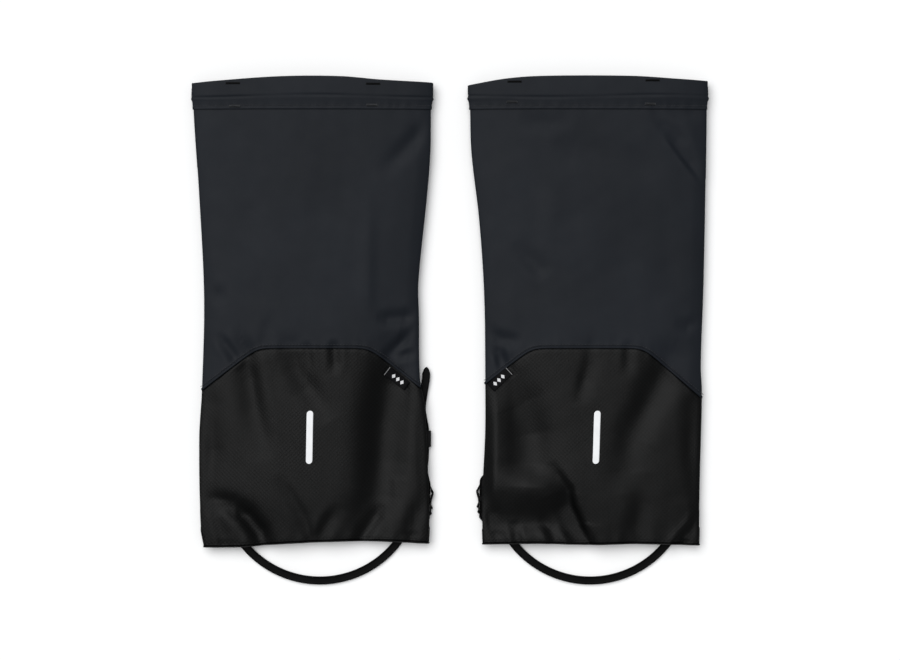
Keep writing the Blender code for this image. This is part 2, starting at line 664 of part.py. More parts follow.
def instep_ends(gaiter):
    """The strap's two ends: one threaded through buckle and keeper, one riveted."""
    route = rounded_route(lateral_route(gaiter))
    tip = [(gaiter.tail_x + 1.2, -36.3, THREADED_BASE), (gaiter.tail_x + 1.3, -33.8, THREADED_BASE)]
    widths = [STRAP_WIDTH] * len(route) + [STRAP_WIDTH * 0.62, STRAP_WIDTH * 0.15]
    add_part(
        gaiter, "instep_tail", loft(strap_sections(route + tip, widths, (True, False))), "strap",
    )
    start, rivet = fold_point(gaiter, -1), rivet_place(gaiter)
    end, direction = arc_end(gaiter, -1)
    beyond = rivet + direction * 6
    marks = [
        (start.x, STRAP_FOLD_Y + GAP / 2, 0.0), (end.x, end.y, 0.0),
        ((end.x + rivet.x) / 2, (end.y + rivet.y) / 2, 0.6),
        (rivet.x, rivet.y, THREADED_BASE), (beyond.x, beyond.y, THREADED_BASE),
    ]
    strap = add_part(gaiter, "instep_riveted_end", loft(strap_sections(rounded_route(marks), None, (True, False))),
                     "strap")
    cut(gaiter, strap, "rivet_hole", cylinder((rivet.x, rivet.y, 3), (0, 0, 1), 1.9, 12, 16))


def rivet_and_tab(gaiter):
    """The webbing tab on the medial side, and the rivet that holds the strap to it."""
    rivet = rivet_place(gaiter)
    low = THREADED_BASE + STRAP_THICKNESS + GAP
    tab = add_part(
        gaiter, "rivet_tab", box((rivet.x - 6, rivet.y - 6.5, low), (rivet.x + 6, rivet.y + 9.5, low + 1.0)),
        "webbing", smooth=False,
    )
    cut(gaiter, tab, "tab_rivet_hole", cylinder((rivet.x, rivet.y, low), (0, 0, 1), 1.9, 8, 16))
    profile = [
        (0, 0.15), (3.0, 0.15), (3.9, 0.55), (3.9, THREADED_BASE - GAP), (1.6, THREADED_BASE - GAP),
        (1.6, low + 1.0 + GAP), (3.4, low + 1.0 + GAP), (3.4, low + 1.8 + GAP), (0, low + 1.8 + GAP),
    ]
    add_part(gaiter, "strap_rivet", turned((rivet.x, rivet.y), profile, 20), "metal")


def buckle_place(gaiter):
    """(centre, direction of the strap) at the buckle."""
    x, y, lean = gaiter.buckle
    lean = math.radians(lean)
    return Vector((x, y)), Vector((math.sin(lean), math.cos(lean)))


def laid_along(bm, centre, run):
    """Moves a bmesh from the buckle's own frame, whose y axis lies along the strap."""
    turn = Matrix.Rotation(math.atan2(-run.x, run.y), 4, "Z")
    bmesh.ops.transform(bm, matrix=Matrix.Translation((centre.x, centre.y, 0)) @ turn, verts=bm.verts)
    return bm


def turned_box(low, high, centre, run):
    """A cuboid in the buckle's own frame."""
    return laid_along(box(low, high), centre, run)


def instep_buckle(gaiter):
    """A ladder buckle: the strap runs over both end bars and under the middle bar."""
    centre, run = buckle_place(gaiter)
    w, l, h = BUCKLE_WIDTH / 2, BUCKLE_LENGTH / 2, BUCKLE_HEIGHT
    slot = STRAP_WIDTH / 2 + 0.35
    outer, inner = -w - TAB_BAR_OUTSET, -w - TAB_BAR_OUTSET + TAB_BAR_WIDTH
    outline = [(outer, -l)] + BUCKLE_OUTER_SIDE + [(outer, l)]
    frame = loft([[Vector((x, y, z)) for x, y in outline] for z in (0.1, h)])
    buckle = add_part(gaiter, "instep_buckle", laid_along(frame, centre, run), "plastic", smooth=False)
    low, high = THREADED_BASE - GAP, THREADED_BASE + STRAP_THICKNESS + GAP
    bar = l - BUCKLE_BAR
    passage = [(-30, low), (-bar, low), (-bar, -5), (bar, -5), (bar, low), (30, low), (30, 12), (2.2, 12),
               (2.2, high), (-2.2, high), (-2.2, 12), (-30, 12)]
    through = loft([[Vector((x, y, z)) for y, z in passage] for x in (-slot, slot)])
    cut(gaiter, buckle, "buckle_passage", laid_along(through, centre, run))
    corner = [(slot - 0.5, 3.4), (5.5, 6.2), (slot - 0.5, 9.4)]
    hole = loft([[Vector((x, y, z)) for x, y in corner] for z in (-5, 12)])
    cut(gaiter, buckle, "buckle_corner", laid_along(hole, centre, run))
    mouth = [(outer - 5, -5), (-w + 0.3, -5), (-w + 0.3, 12), (outer - 5, 12), (outer - 5, TAB_BAR_HEAD),
             (inner, TAB_BAR_HEAD), (inner, TAB_BAR_FOOT), (outer - 5, TAB_BAR_FOOT)]
    around_bar = loft([[Vector((x, y, z)) for x, z in mouth] for y in (-6.8, 6.8)])
    cut(gaiter, buckle, "buckle_tab_mouth", laid_along(around_bar, centre, run))
    tab = add_part(
        gaiter, "buckle_tab",
        turned_box((outer - 10, -5.4, TAB_BAR_FOOT - 1.2), (inner + 1.3, 5.4, TAB_BAR_HEAD + 1.2), centre, run),
        "webbing", smooth=False,
    )
    hole = turned_box((outer - 0.5, -30, TAB_BAR_FOOT - 0.4), (inner + 0.5, 30, TAB_BAR_HEAD + 0.4), centre, run)
    cut(gaiter, tab, "buckle_tab_hole", hole)


def strap_keeper(gaiter):
    """The webbing loop that holds the strap's tail to the side of the lower shell."""
    low = THREADED_BASE - GAP - KEEPER_WALL
    high = THREADED_BASE + STRAP_THICKNESS + GAP
    x, half = gaiter.tail_x, STRAP_WIDTH / 2 + 0.9
    keeper = add_part(
        gaiter, "strap_keeper",
        box((x - half - KEEPER_WALL, -108, low + 0.05), (x + half + KEEPER_WALL, -108 + KEEPER_LENGTH,
                                                         high + KEEPER_WALL)),
        "webbing", smooth=False,
    )
    cut(gaiter, keeper, "keeper_opening", box((x - half, -130, low + KEEPER_WALL), (x + half, -70, high)))


# Trim --------------------------------------------------------------------------------------------------------

def reflective_strip(gaiter):
    """A heat-bonded reflective bar with round ends, in the middle of the calf."""
    top, foot, radius = -74.0, -123.0, 3.0
    low_x, high_x = gaiter.strip

    def place(u, v):
        y = foot + (top - foot) * v
        near_end = min(y - foot, top - y)
        half = radius if near_end > radius else math.sqrt(max(radius**2 - (radius - near_end)**2, 0.6))
        return low_x + (high_x - low_x) * v + half * (2 * u - 1), y

    bm = slab_on_calf(gaiter, 2, 20, place, FABRIC / 2 + GAP, 0.4)
    add_part(gaiter, "reflective_strip", bm, "reflective")


def label(gaiter):
    """A plain woven label, sewn into the seam on the inner side."""
    centre, length, height = Vector(gaiter.label[:2]), 24.0, 8.6
    lean = math.radians(gaiter.label[2])
    along = Vector((math.cos(lean), math.sin(lean)))
    up = Vector((-along.y, along.x))

    def place(u, v):
        spot = centre + along * length * (u - 0.5) + up * height * (v - 0.5)
        return spot.x, spot.y

    add_part(gaiter, "label", slab_on_calf(gaiter, 6, 2, place, FABRIC / 2 + GAP, 0.5), "label")


def gaiter_parts(gaiter):
    shells(gaiter)
    hem_band(gaiter)
    seam_piping(gaiter)
    cuff(gaiter)
    storm_flap(gaiter)
    loop_tape(gaiter)
    snaps(gaiter)
    cuff_buckle(gaiter)
    lace_hook(gaiter)
    instep_loop(gaiter)
    instep_ends(gaiter)
    rivet_and_tab(gaiter)
    instep_buckle(gaiter)
    strap_keeper(gaiter)
    reflective_strip(gaiter)
    label(gaiter)


def main():
    for old in list(bpy.data.objects):
        bpy.data.objects.remove(old)
    for name in ("gaiters", "cutters"):
        bpy.context.scene.collection.children.link(bpy.data.collections.new(name))
    for gaiter in (LEFT, RIGHT):
        gaiter_parts(gaiter)


main()
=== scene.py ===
"""The looks of a pair of hiking gaiters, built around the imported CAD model.

Lengths are millimetres in each gaiter's own frame until to_world() turns them into metres: x runs across the
gaiter from its centre line towards the other gaiter, y up the leg and z up from the table. The shapes follow
the CAD model's outlines and heights, and the folds and stitching are added here.
"""

import math

import bmesh
import bpy
import numpy as np
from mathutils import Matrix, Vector


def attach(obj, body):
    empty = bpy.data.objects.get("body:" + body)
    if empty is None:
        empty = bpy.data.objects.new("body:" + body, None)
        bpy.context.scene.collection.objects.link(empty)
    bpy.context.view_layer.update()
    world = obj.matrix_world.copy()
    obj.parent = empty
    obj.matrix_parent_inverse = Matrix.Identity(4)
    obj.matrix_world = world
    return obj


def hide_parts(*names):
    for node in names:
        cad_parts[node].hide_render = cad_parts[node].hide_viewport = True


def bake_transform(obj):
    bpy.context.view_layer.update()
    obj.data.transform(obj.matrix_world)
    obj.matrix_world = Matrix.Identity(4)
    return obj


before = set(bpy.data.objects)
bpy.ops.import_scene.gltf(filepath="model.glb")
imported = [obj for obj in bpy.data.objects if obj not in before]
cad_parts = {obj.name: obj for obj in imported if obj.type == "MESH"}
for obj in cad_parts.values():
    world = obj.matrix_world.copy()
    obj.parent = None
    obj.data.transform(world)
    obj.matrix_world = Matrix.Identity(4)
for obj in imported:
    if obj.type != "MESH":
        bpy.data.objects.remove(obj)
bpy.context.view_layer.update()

PAIR_SPACING = 253.5
ORIGIN = (-0.57, 0.495)

# The CAD model's shape.
HEM_BAND = 10.0
CUFF_FOOT = 205.0
SEAM_CREST, SEAM_SHOULDER, SEAM_SLOPE, SEAM_ROUNDING = -15.5, 52.0, 0.78, 4.0
EDGE_HEIGHT = 9.0
CROWN = [(-200, 13.6), (-150, 17.0), (-20, 17.6), (120, 16.6), (206, 16.0), (240, 16.0)]
FLOOR_SIDE = [(-205, 1.2), (-186, 1.2), (-178, 0.5), (180, 0.5), (203, 1.8), (240, 1.8)]
FLAT_SHARE = 0.68
CLOSURE_HALF, CLOSURE_FADE, CLOSURE_HEIGHT = 34.0, 13.0, 5.6
STRAP_WIDTH, STRAP_THICKNESS = 7.4, 2.6
STRAP_RADIUS, STRAP_HALF_ANGLE, STRAP_CENTRE_Y, STRAP_FOLD_Y = 91.0, math.radians(49.8), -141.3, -203.5
THREADED_BASE = 1.3
RIVET_BACK = 34.0
CUFF_MOUTH, CUFF_STITCHES = 20.0, 208.0
FLAP_HINGE_X, FLAP_FREE_X, FLAP_FOOT, FLAP_HEAD = -31.0, 32.0, -173.0, 201.0
FLAP_BASE, FLAP_THICKNESS = 1.6, 1.0

# The fabric's own sizes.
SKIN = 0.5                  # from the CAD shells' middle surface to their outside
CLOTH = 0.8                 # thickness of the shown fabric
FOLD_GAIN = 1.1             # multiplies the depths of the folds below
LOWER_FOLD_GAIN = 0.2       # added to it on the tough lower cloth
LIP_GAIN = 0.7              # multiplies the folds' lips
LIP_AT, LIP_WIDTH = 1.9, 0.8            # where a lip stands and how wide it is, in widths of its fold
RELIEF_FADES, LAYERS_MEET = 0.86, 0.88  # shares of the half width where the folds and the gap begin to end
LAYER_GAP, GAP_SOFTNESS = 2.3, 2.6      # the least gap between the calf and the front, and how softly it acts
STITCHED_SHARE = 0.95       # how far towards the side edges the rows of stitches go
HEM_LEVEL, ARCH_LEVEL, CUFF_LEVEL = -198.0, -50.0, 218.0  # heights at which those parts' widths are taken
VIEW_WIDTH_AT_TABLE = 0.8325  # metres across the picture


class Gaiter:
    """One gaiter's outlines, as in the CAD model, and its folds.

    A fold is (points, width on its left, width on its right, lip), and a point is (x, y, depth). The depth is
    negative for a ridge. The lip is the share of the depth, before LIP_GAIN, that the fabric rises beside it.
    """

    def __init__(self, name, side, inner, outer, hem, top, outer_slope, strap_x, tail_x, buckle, label, strip,
                 folds, bartacks, slots):
        self.name, self.side = name, side
        self.inner, self.outer, self.hem, self.top = inner, outer, hem, top
        self.outer_slope, self.strap_x, self.tail_x, self.buckle = outer_slope, strap_x, tail_x, buckle
        self.label, self.strip = label, strip
        self.folds, self.bartacks, self.slots = folds, bartacks, slots
        self.body = f"{name}_gaiter"
        self.phase = 0.0 if side > 0 else 2.1

    def to_world(self, points):
        points = np.asarray(points, float)
        x = self.side * (points[..., 0] - PAIR_SPACING / 2) - ORIGIN[0]
        return np.stack([x, points[..., 1] - ORIGIN[1], points[..., 2]], axis=-1) * 0.001


LEFT = Gaiter(
    "left", 1,
    inner=[(-200, 106.5), (-170, 107.5), (-70, 103.5), (-45, 99), (15, 98), (45, 97.5), (125, 105.5),
           (165, 108.5), (205, 109), (232, 109.3)],
    outer=[(-200, 101.5), (-180, 105), (-100, 106.5), (-55, 104), (30, 102), (125, 106.5), (205, 111.6),
           (232, 111.3)],
    hem=[(-110, -200.5), (-68, -200.0), (-20, -196.5), (50, -194.5), (108, -197.0)],
    top=[(-113, 229), (-90, 231), (-30, 235), (25, 235), (62, 232), (111, 229.5)],
    outer_slope=0.76, strap_x=5.3, tail_x=103.1, buckle=(104.0, -157.3, 2.0), label=(76.8, -44.2, -37.5),
    strip=(-3.9, -2.7),
    folds=[
        # Upper panel.
        ([(107, 192, 0.4), (97, 181, 2.3), (81, 164, 2.3), (67, 150, 0.7), (60, 144, 0)], 8, 8, 0),
        ([(58, 12, 0), (68, 11, 2.2), (86, 12.5, 2.5), (102, 15, 1.2)], 6, 6, 0.1),
        ([(-100, 36, 0.3), (-88, 33, 1.2), (-78, 31, 0)], 7, 7, 0.2),
        ([(50, 138, 0), (50.5, 90, -1.0), (50, 30, -1.3), (53, 8, 0)], 7, 9, 0),
        ([(-90, -2, 0), (-82, -12, 1.7), (-73, -24, 1.8)], 4, 4.5, 0.4),
        ([(-72, 6, 0), (-64, -8, 0.8), (-58, -20, 0.9)], 6, 6, 0.2),
        ([(70, -22, 2.4), (82, -10, 2.3), (96, 4, 0.7)], 4.4, 4.6, 0.1),
        ([(76, -25, 1.0), (88, -22, 1.8), (101, -21, 0.8)], 3.6, 3.8, 0.35),
        ([(-36, 20, 0), (-42, 4, 0.7), (-46, -14, 0.7)], 7, 5, 0.2),
        ([(-74, 150, 0), (-62, 110, 0.9), (-66, 60, 0)], 16, 12, 0),
        ([(6, 180, 0), (18, 130, 0.8), (8, 80, 0)], 20, 16, 0),
        # Lower panel.
        ([(-64, -20, 1.8), (-59, -44, 3.0), (-54, -72, 2.6), (-48, -98, 1.3), (-42, -120, 0)], 8, 12, 0.2),
        ([(-20, -16, 1.8), (-15, -34, 2.6), (-5, -52, 2.8), (8, -70, 1.3), (16, -84, 0)], 10, 12, 0),
        ([(-6, -16, 1.2), (-4, -30, 0.8), (-2, -40, 0)], 4, 4, 0.3),
        ([(19, -16, 1.6), (20, -30, 1.2), (18, -42, 0)], 4.5, 4.5, 0.3),
        ([(76, -24, 3.6), (71, -50, 6.8), (66, -84, 8.2), (64, -120, 8.2), (61, -150, 6.4), (50, -178, 3.8),
          (40, -196, 1.6)], 21, 19, 0),
        ([(64, -160, 0), (58, -172, 2.0), (47, -188, 2.0), (40, -200, 1.4)], 5, 6, 0.1),
        ([(-106, -150, 0.8), (-92, -157, 2.4), (-76, -163, 4.2), (-62, -172, 6.0), (-51, -186, 6.4),
          (-45, -202, 4.2)], 9, 7.5, 0),
        ([(-34, -132, 0), (-22, -150, 1.0), (-9, -172, 1.4), (-3, -192, 1.6), (-2, -202, 1.2)],
         4.5, 7, 0),
        ([(24, -160, 0), (16, -173, 1.2), (6, -190, 1.3), (3, -200, 1.0)], 7, 5, 0.2),
        ([(-104, -158, 0.4), (-92, -170, 1.3), (-84, -188, 1.5), (-80, -202, 1.1)], 7, 5.5, 0),
        ([(110, -150, 0), (98, -168, 2.2), (90, -190, 2.0), (88, -202, 1.0)], 8, 9, 0.1),
        ([(110, -60, 0.6), (104, -90, 1.6), (104, -130, 1.6), (108, -160, 0.6)], 9, 8, 0),
        ([(-98, -70, 1.0), (-95, -110, 2.0), (-99, -140, 1.0)], 10, 11, 0.1),
    ],
    bartacks=[(-72.6, 207.6), (54.1, 208.5)], slots=[(-74.2, 228.4), (55.2, 227.8)],
)
RIGHT = Gaiter(
    "right", -1,
    inner=[(-200, 96.8), (-160, 98), (-95, 95.2), (-60, 95.0), (30, 96), (100, 100.5), (165, 107.8),
           (205, 109), (232, 109.3)],
    outer=[(-200, 103.5), (-130, 104.8), (-60, 106.6), (-30, 105.6), (40, 108), (150, 110.2), (205, 110.8),
           (232, 110.0)],
    hem=[(-110, -198.8), (-45, -197.0), (0, -198.0), (45, -196.8), (100, -197.8)],
    top=[(-112, 231), (-80, 233), (-40, 235.3), (40, 235.3), (75, 233), (111, 227)],
    outer_slope=0.86, strap_x=-3.0, tail_x=88.5, buckle=(96.0, -156.0, 0), label=(80.9, -44.8, -43.0),
    strip=(-7.0, -9.1),
    folds=[
        # Upper panel.
        ([(64, 196, 0), (50, 192, 1.2), (34, 191, 1.3), (12, 194, 0)], 7, 9, 0.15),
        ([(34, 178, 0), (14, 169, 1.2), (-18, 160, 1.5), (-48, 150, 1.2), (-66, 128, 0)], 12, 15, 0.1),
        ([(-72, 182, 0), (-80, 172, 1.3), (-94, 154, 1.9), (-106, 140, 1.0)], 2.6, 9, 0.45),
        ([(-50, 212, 0), (-62, 205, 0.9), (-84, 200, 1.1), (-106, 199, 0.8)], 5, 9, 0.1),
        ([(-60, 202, 0), (-70, 190, 1.0), (-84, 178, 1.0), (-94, 172, 0)], 5, 7, 0.2),
        ([(68, 82, 0), (56, 68, 1.5), (44, 56, 1.5), (37, 49, 0)], 7, 8, 0.25),
        ([(98, 2, 0.6), (84, -6, 2.2), (70, -9, 1.8), (60, -8, 0)], 5.5, 5.5, 0.1),
        ([(-106, 6, 0.8), (-92, 4, 1.4), (-80, 8, 0)], 6, 6, 0.25),
        ([(34, 150, 0), (33, 110, -1.1), (38, 70, 0)], 9, 12, 0),
        ([(-22, 120, 0), (-32, 60, 1.0), (-26, 14, 0)], 18, 16, 0),
        ([(-70, 110, 0), (-74, 60, 0.9), (-70, 20, 0)], 14, 14, 0),
        # Lower panel.
        ([(94, -8, 0), (85, -20, 2.4), (74, -34, 1.9), (70, -44, 0)], 5, 5, 0.1),
        ([(80, -12, 0.8), (80, -26, 1.7), (82, -44, 0)], 4, 4, 0.3),
        ([(-1, -16, 1.0), (-2, -28, 1.0), (3, -46, 1.7), (9, -70, 0)], 6, 8, 0),
        ([(-37, -16, 1.0), (-37, -30, 0.8), (-36, -44, 0)], 4.5, 5, 0.2),
        ([(-75, -26, 2.6), (-67, -46, 3.8), (-55, -70, 4.0), (-40, -98, 2.8), (-34, -130, 1.4),
          (-38, -150, 0)], 14, 15, 0),
        ([(76, -40, 1.2), (61, -68, 4.2), (53, -96, 5.8), (52, -124, 4.2), (52, -144, 0)], 22, 19, 0),
        ([(94, -46, -0.4), (91, -80, -2.8), (90, -118, -3.2), (91, -146, -2.0), (94, -168, 0)],
         18, 17, 0),
        ([(86, -140, -1.0), (56, -143, -2.4), (30, -147, -1.4)], 15, 13, 0),
        ([(36, -122, 0), (28, -134, 2.6), (19, -148, 5.0), (17, -163, 7.6), (11, -178, 7.4), (1, -194, 5.0),
          (-4, -204, 3.0)], 15, 5.0, 0),
        ([(97, -176, 1.4), (70, -178, 2.8), (42, -177, 4.0), (18, -178, 2.0)], 9, 16, 0),
        ([(106, -150, 0.6), (92, -172, 2.4), (84, -190, 2.0), (82, -202, 1.2)], 7, 9, 0.2),
        ([(68, -176, 0), (66, -190, 1.7), (64, -202, 1.2)], 4, 4, 0.4),
        ([(42, -170, 0), (34, -184, 1.8), (27, -200, 1.5)], 5, 5, 0.35),
        ([(-50, -130, 0), (-50, -160, 1.2), (-45, -182, 1.4), (-42, -202, 1.0)], 9, 10, 0.1),
        ([(-106, -172, 1.0), (-97, -184, 2.4), (-86, -197, 2.4), (-82, -204, 1.4)], 4.5, 9, 0.3),
        ([(-100, -70, 0.8), (-98, -110, 1.4), (-102, -150, 0.6)], 9, 8, 0.1),
    ],
    bartacks=[(69.9, 211.4), (-57.8, 209.4)], slots=[(67.5, 229.8), (-59.8, 231.0)],
)


# Shape ------------------------------------------------------------------------

def curve(points, at):
    """A smooth curve through (position, value) pairs, level with its end points beyond them."""
    xs, ys = (np.array(c, float) for c in zip(*points))
    at = np.clip(np.asarray(at, float), xs[0], xs[-1])
    slopes = np.empty(len(xs))
    slopes[1:-1] = (ys[2:] - ys[:-2]) / (xs[2:] - xs[:-2])
    slopes[0] = (ys[1] - ys[0]) / (xs[1] - xs[0])
    slopes[-1] = (ys[-1] - ys[-2]) / (xs[-1] - xs[-2])
    i = np.clip(np.searchsorted(xs, at, side="right") - 1, 0, len(xs) - 2)
    step = xs[i + 1] - xs[i]
    t = (at - xs[i]) / step
    return (
        (2 * t**3 - 3 * t**2 + 1) * ys[i] + (t**3 - 2 * t**2 + t) * step * slopes[i]
        + (3 * t**2 - 2 * t**3) * ys[i + 1] + (t**3 - t**2) * step * slopes[i + 1]
    )


def ease(t):
    """0 to 1 as t runs from 0 to 1, level at both ends."""
    t = np.clip(t, 0, 1)
    return t * t * (3 - 2 * t)


def pad(value, low, high, fade):
    """1 from low to high, fading to 0 outside them."""
    return ease((value - low) / fade + 1) * ease((high - value) / fade + 1)


def nub(y):
    """The ends of the cuff's inner band stand out a little at the side edges."""
    return 0.9 * np.exp(-(((y - 214.5) / 1.6) ** 2))


def half_width(g, x, y):
    return np.where(np.asarray(x) > 0, curve(g.inner, y), curve(g.outer, y)) + nub(y)


def spread(g, share, y):
    """x at a share of the half width. The share is positive on the inner side."""
    return share * np.where(share > 0, curve(g.inner, y), curve(g.outer, y))


def seam_y(g, x):
    """The arch's height along the leg: level in the middle, and a slope beyond each rounded shoulder."""
    past = (np.abs(x) - SEAM_SHOULDER) / SEAM_ROUNDING
    return SEAM_CREST - np.where(x > 0, SEAM_SLOPE, g.outer_slope) * SEAM_ROUNDING * np.log1p(np.exp(past))


def fold_field(x, y, fold):
    """One fold's height at the points."""
    points, left, right, lip = fold
    nearest = np.full(x.shape, 1e9)
    offset, depth = np.zeros(x.shape), np.zeros(x.shape)
    for (x0, y0, d0), (x1, y1, d1) in zip(points, points[1:]):
        run = math.hypot(x1 - x0, y1 - y0)
        t = np.clip(((x - x0) * (x1 - x0) + (y - y0) * (y1 - y0)) / run**2, 0, 1)
        dx, dy = x - x0 - t * (x1 - x0), y - y0 - t * (y1 - y0)
        away = np.hypot(dx, dy)
        side = np.sign((x1 - x0) * dy - (y1 - y0) * dx)
        closer = away < nearest
        nearest = np.where(closer, away, nearest)
        offset = np.where(closer, away * side, offset)
        depth = np.where(closer, d0 + (d1 - d0) * t, depth)
    share = nearest / np.where(offset > 0, left, right)
    rise = LIP_GAIN * lip * np.exp(-((share - LIP_AT) / LIP_WIDTH) ** 2)
    return depth * (rise - np.exp(-share**2))


def waves(g, x, y):
    """Broad unevenness of fabric that lies loose."""
    p = g.phase
    return (
        0.30 * np.sin(x / 17 + 0.6 * np.sin(y / 31 + p) + p) * np.cos(y / 43 - p)
        + 0.16 * np.sin(y / 11 + x / 29 + 2 * p) * np.sin(x / 23 - p)
        + 0.06 * np.sin(x / 4.3 + y / 9.1) * np.sin(y / 6.7 - x / 13 + p)
    )


def puckers(g, x, y):
    """Small ripples where the fabric is gathered by stitching: at the arch, the hem and the cuff."""
    p = g.phase
    from_seam = y - seam_y(g, x)
    seam = 0.20 * np.sin(x / 1.9 + np.sin(x / 7 + p)) * np.exp(-np.abs(from_seam - 1.5) / 5)
    hem_y = curve(g.hem, x)
    hem = 0.26 * np.sin(x / 2.6 + 1.4 * np.sin(x / 13 + p)) * np.exp(-np.abs(y - hem_y - 4) / 7)
    cuff = 0.16 * np.sin(x / 3.1 + 1.2 * np.sin(x / 17 - p)) * np.exp(-np.abs(y - 206) / 6)
    return seam + hem + cuff


def calf_height(g, x, y):
    """Outside of the calf side, with the folds. It stays above the front, and meets it at the side edges."""
    share = np.clip(np.abs(x) / half_width(g, x, y), 0, 1)
    crown = curve(CROWN, y)
    height = EDGE_HEIGHT + (crown - EDGE_HEIGHT) * np.sqrt(1 - share**2.2)
    relief = waves(g, x, y) + puckers(g, x, y)
    lower = ease((seam_y(g, x) - y) / 12)
    for fold in g.folds:
        relief = relief + fold_field(x, y, fold) * (FOLD_GAIN + LOWER_FOLD_GAIN * lower)
    height = height + relief * (1 - ease((share - RELIEF_FADES) / (1 - RELIEF_FADES))) + SKIN
    inner = 1 - ease((share - LAYERS_MEET) / (1 - LAYERS_MEET))
    least = front_height(g, x, y) + LAYER_GAP * inner + SKIN * (1 - inner)
    spare = height - least
    return least + 0.5 * (spare + np.sqrt(spare**2 + (GAP_SOFTNESS * inner) ** 2))


def rivet_place(g):
    end, run = arc_end(g, -1)
    return end + run * RIVET_BACK


def front_height(g, x, y):
    """Middle surface of the front, as in the CAD model: on the table, and raised over what lies under it."""
    share = np.clip(np.abs(x) / half_width(g, x, y), 0, 1)
    base = np.maximum(curve(FLOOR_SIDE, y), 0.5)
    rise = np.clip((share - FLAT_SHARE) / (1 - FLAT_SHARE), 0, 1)
    height = base + (EDGE_HEIGHT - base) * (1 - np.sqrt(1 - rise**2))
    rx, ry = rivet_place(g)
    # Over the flap, the hem, the strap's tail, its buckle and the rivet.
    for raised in (
        CLOSURE_HEIGHT * pad(x, -CLOSURE_HALF, CLOSURE_HALF, CLOSURE_FADE),
        4.1 * pad(y, -300, -176, 14),
        7.0 * pad(x, g.tail_x - 13, 300, 10) * pad(y, -184, -22, 12),
        6.3 * pad(x, g.buckle[0] - 28, 300, 10) * pad(y, -174, -140, 10),
        7.6 * pad(x, -300, rx + 13, 12) * pad(y, -192, ry + 14, 10),
    ):
        height = np.maximum(height, raised)
    return np.minimum(height, EDGE_HEIGHT)


def arc_end(g, sign):
    """The end of the strap's arc on one side, and the strap's direction there."""
    a = STRAP_HALF_ANGLE
    x = g.strap_x + sign * STRAP_RADIUS * math.sin(a)
    y = STRAP_CENTRE_Y - STRAP_RADIUS * math.cos(a)
    return np.array([x, y]), np.array([sign * math.cos(a), math.sin(a)])


def around(front_steps=34, calf_steps=168, slit=0.02):
    """Shares of the half width once round the tube from the slit, and which of them are on the calf."""
    start = math.asin(slit)
    front = [math.sin(start + (math.pi / 2 - start) * i / front_steps) for i in range(front_steps)]
    calf = [math.sin(math.pi / 2 - math.pi * i / calf_steps) for i in range(calf_steps + 1)]
    on_front = [False] * front_steps
    share = np.array(front + calf + [-s for s in reversed(front)])
    return share, np.array(on_front + [True] * len(calf) + on_front)


def row_of(g, x, y, calf):
    """Points of the tube's middle surface."""
    z = np.where(calf, calf_height(g, x, y) - SKIN, front_height(g, x, y))
    return np.stack([x, y, z], axis=-1)


def row_normals(middle):
    """Outward normals of one ring of the tube, in the x and z plane."""
    run = np.gradient(middle, axis=0)
    normal = np.stack([run[:, 2], np.zeros(len(run)), -run[:, 0]], axis=-1)
    return normal / np.maximum(np.linalg.norm(normal, axis=1, keepdims=True), 1e-9)


def tube(g, rows, foot_of, head_of):
    """Points of the tube's outside between two heights along the leg, one row after another."""
    share, calf = around()
    x_mid = spread(g, share, ARCH_LEVEL)
    foot, head = foot_of(x_mid, calf), head_of(x_mid, calf)
    y = foot + (head - foot) * np.linspace(0, 1, rows + 1)[:, None]
    x = spread(g, share, y) + np.sign(share) * nub(y) * np.abs(share) ** 12
    middle = row_of(g, x, y, calf)
    normal = np.cross(np.gradient(middle, axis=0), np.gradient(middle, axis=1))
    normal /= np.linalg.norm(normal, axis=-1, keepdims=True)
    return middle - normal * SKIN


# Meshes -----------------------------------------------------------------------

def new_object(name, data):
    thing = bpy.data.objects.new(name, data)
    bpy.context.scene.collection.objects.link(thing)
    return thing


def put(g, name, points, faces, material, body, slot_name, replaced=(), uv=None):
    """Makes a piece from points in the gaiter's frame, and puts it on a body."""
    mesh = bpy.data.meshes.new(f"{g.name}_{name}")
    mesh.from_pydata(g.to_world(points).tolist(), [], [list(map(int, f)) for f in faces])
    if g.side < 0:
        mesh.flip_normals()
    if uv is not None:
        layer = mesh.uv_layers.new(name="along")
        index = np.empty(len(mesh.loops), np.int32)
        mesh.loops.foreach_get("vertex_index", index)
        layer.data.foreach_set("uv", np.asarray(uv, np.float32)[index].ravel())
    mesh.shade_smooth()
    mesh.materials.append(material)
    piece = new_object(f"{g.name}_{name}", mesh)
    if body:
        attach(piece, body)
    if replaced:
        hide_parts(*[f"{g.name}_{node}" for node in replaced])
    return piece


def grid_faces(rows, columns, wrap=False):
    i, j = np.meshgrid(np.arange(rows - 1), np.arange(columns if wrap else columns - 1), indexing="ij")
    a, b = i * columns + j, i * columns + (j + 1) % columns
    return np.stack([a, b, b + columns, a + columns], axis=-1).reshape(-1, 4)


def outward(piece):
    """Turns a closed mesh's faces outward."""
    bm = bmesh.new()
    bm.from_mesh(piece.data)
    bm.normal_update()
    bmesh.ops.recalc_face_normals(bm, faces=bm.faces)
    if bm.calc_volume(signed=True) < 0:
        bmesh.ops.reverse_faces(bm, faces=bm.faces)
    bm.to_mesh(piece.data)
    bm.free()


def thicken(piece, thickness):
    modifier = piece.modifiers.new("cloth", "SOLIDIFY")
    modifier.thickness = thickness * 0.001
    modifier.offset = -1.0


def cloth_grid(g, name, grid, material, body, slot_name, replaced=(), thickness=CLOTH):
    rows, columns = grid.shape[:2]
    faces = grid_faces(rows, columns)[:, ::-1]
    piece = put(g, name, grid.reshape(-1, 3), faces, material, body, slot_name, replaced)
    thicken(piece, thickness)
    return piece


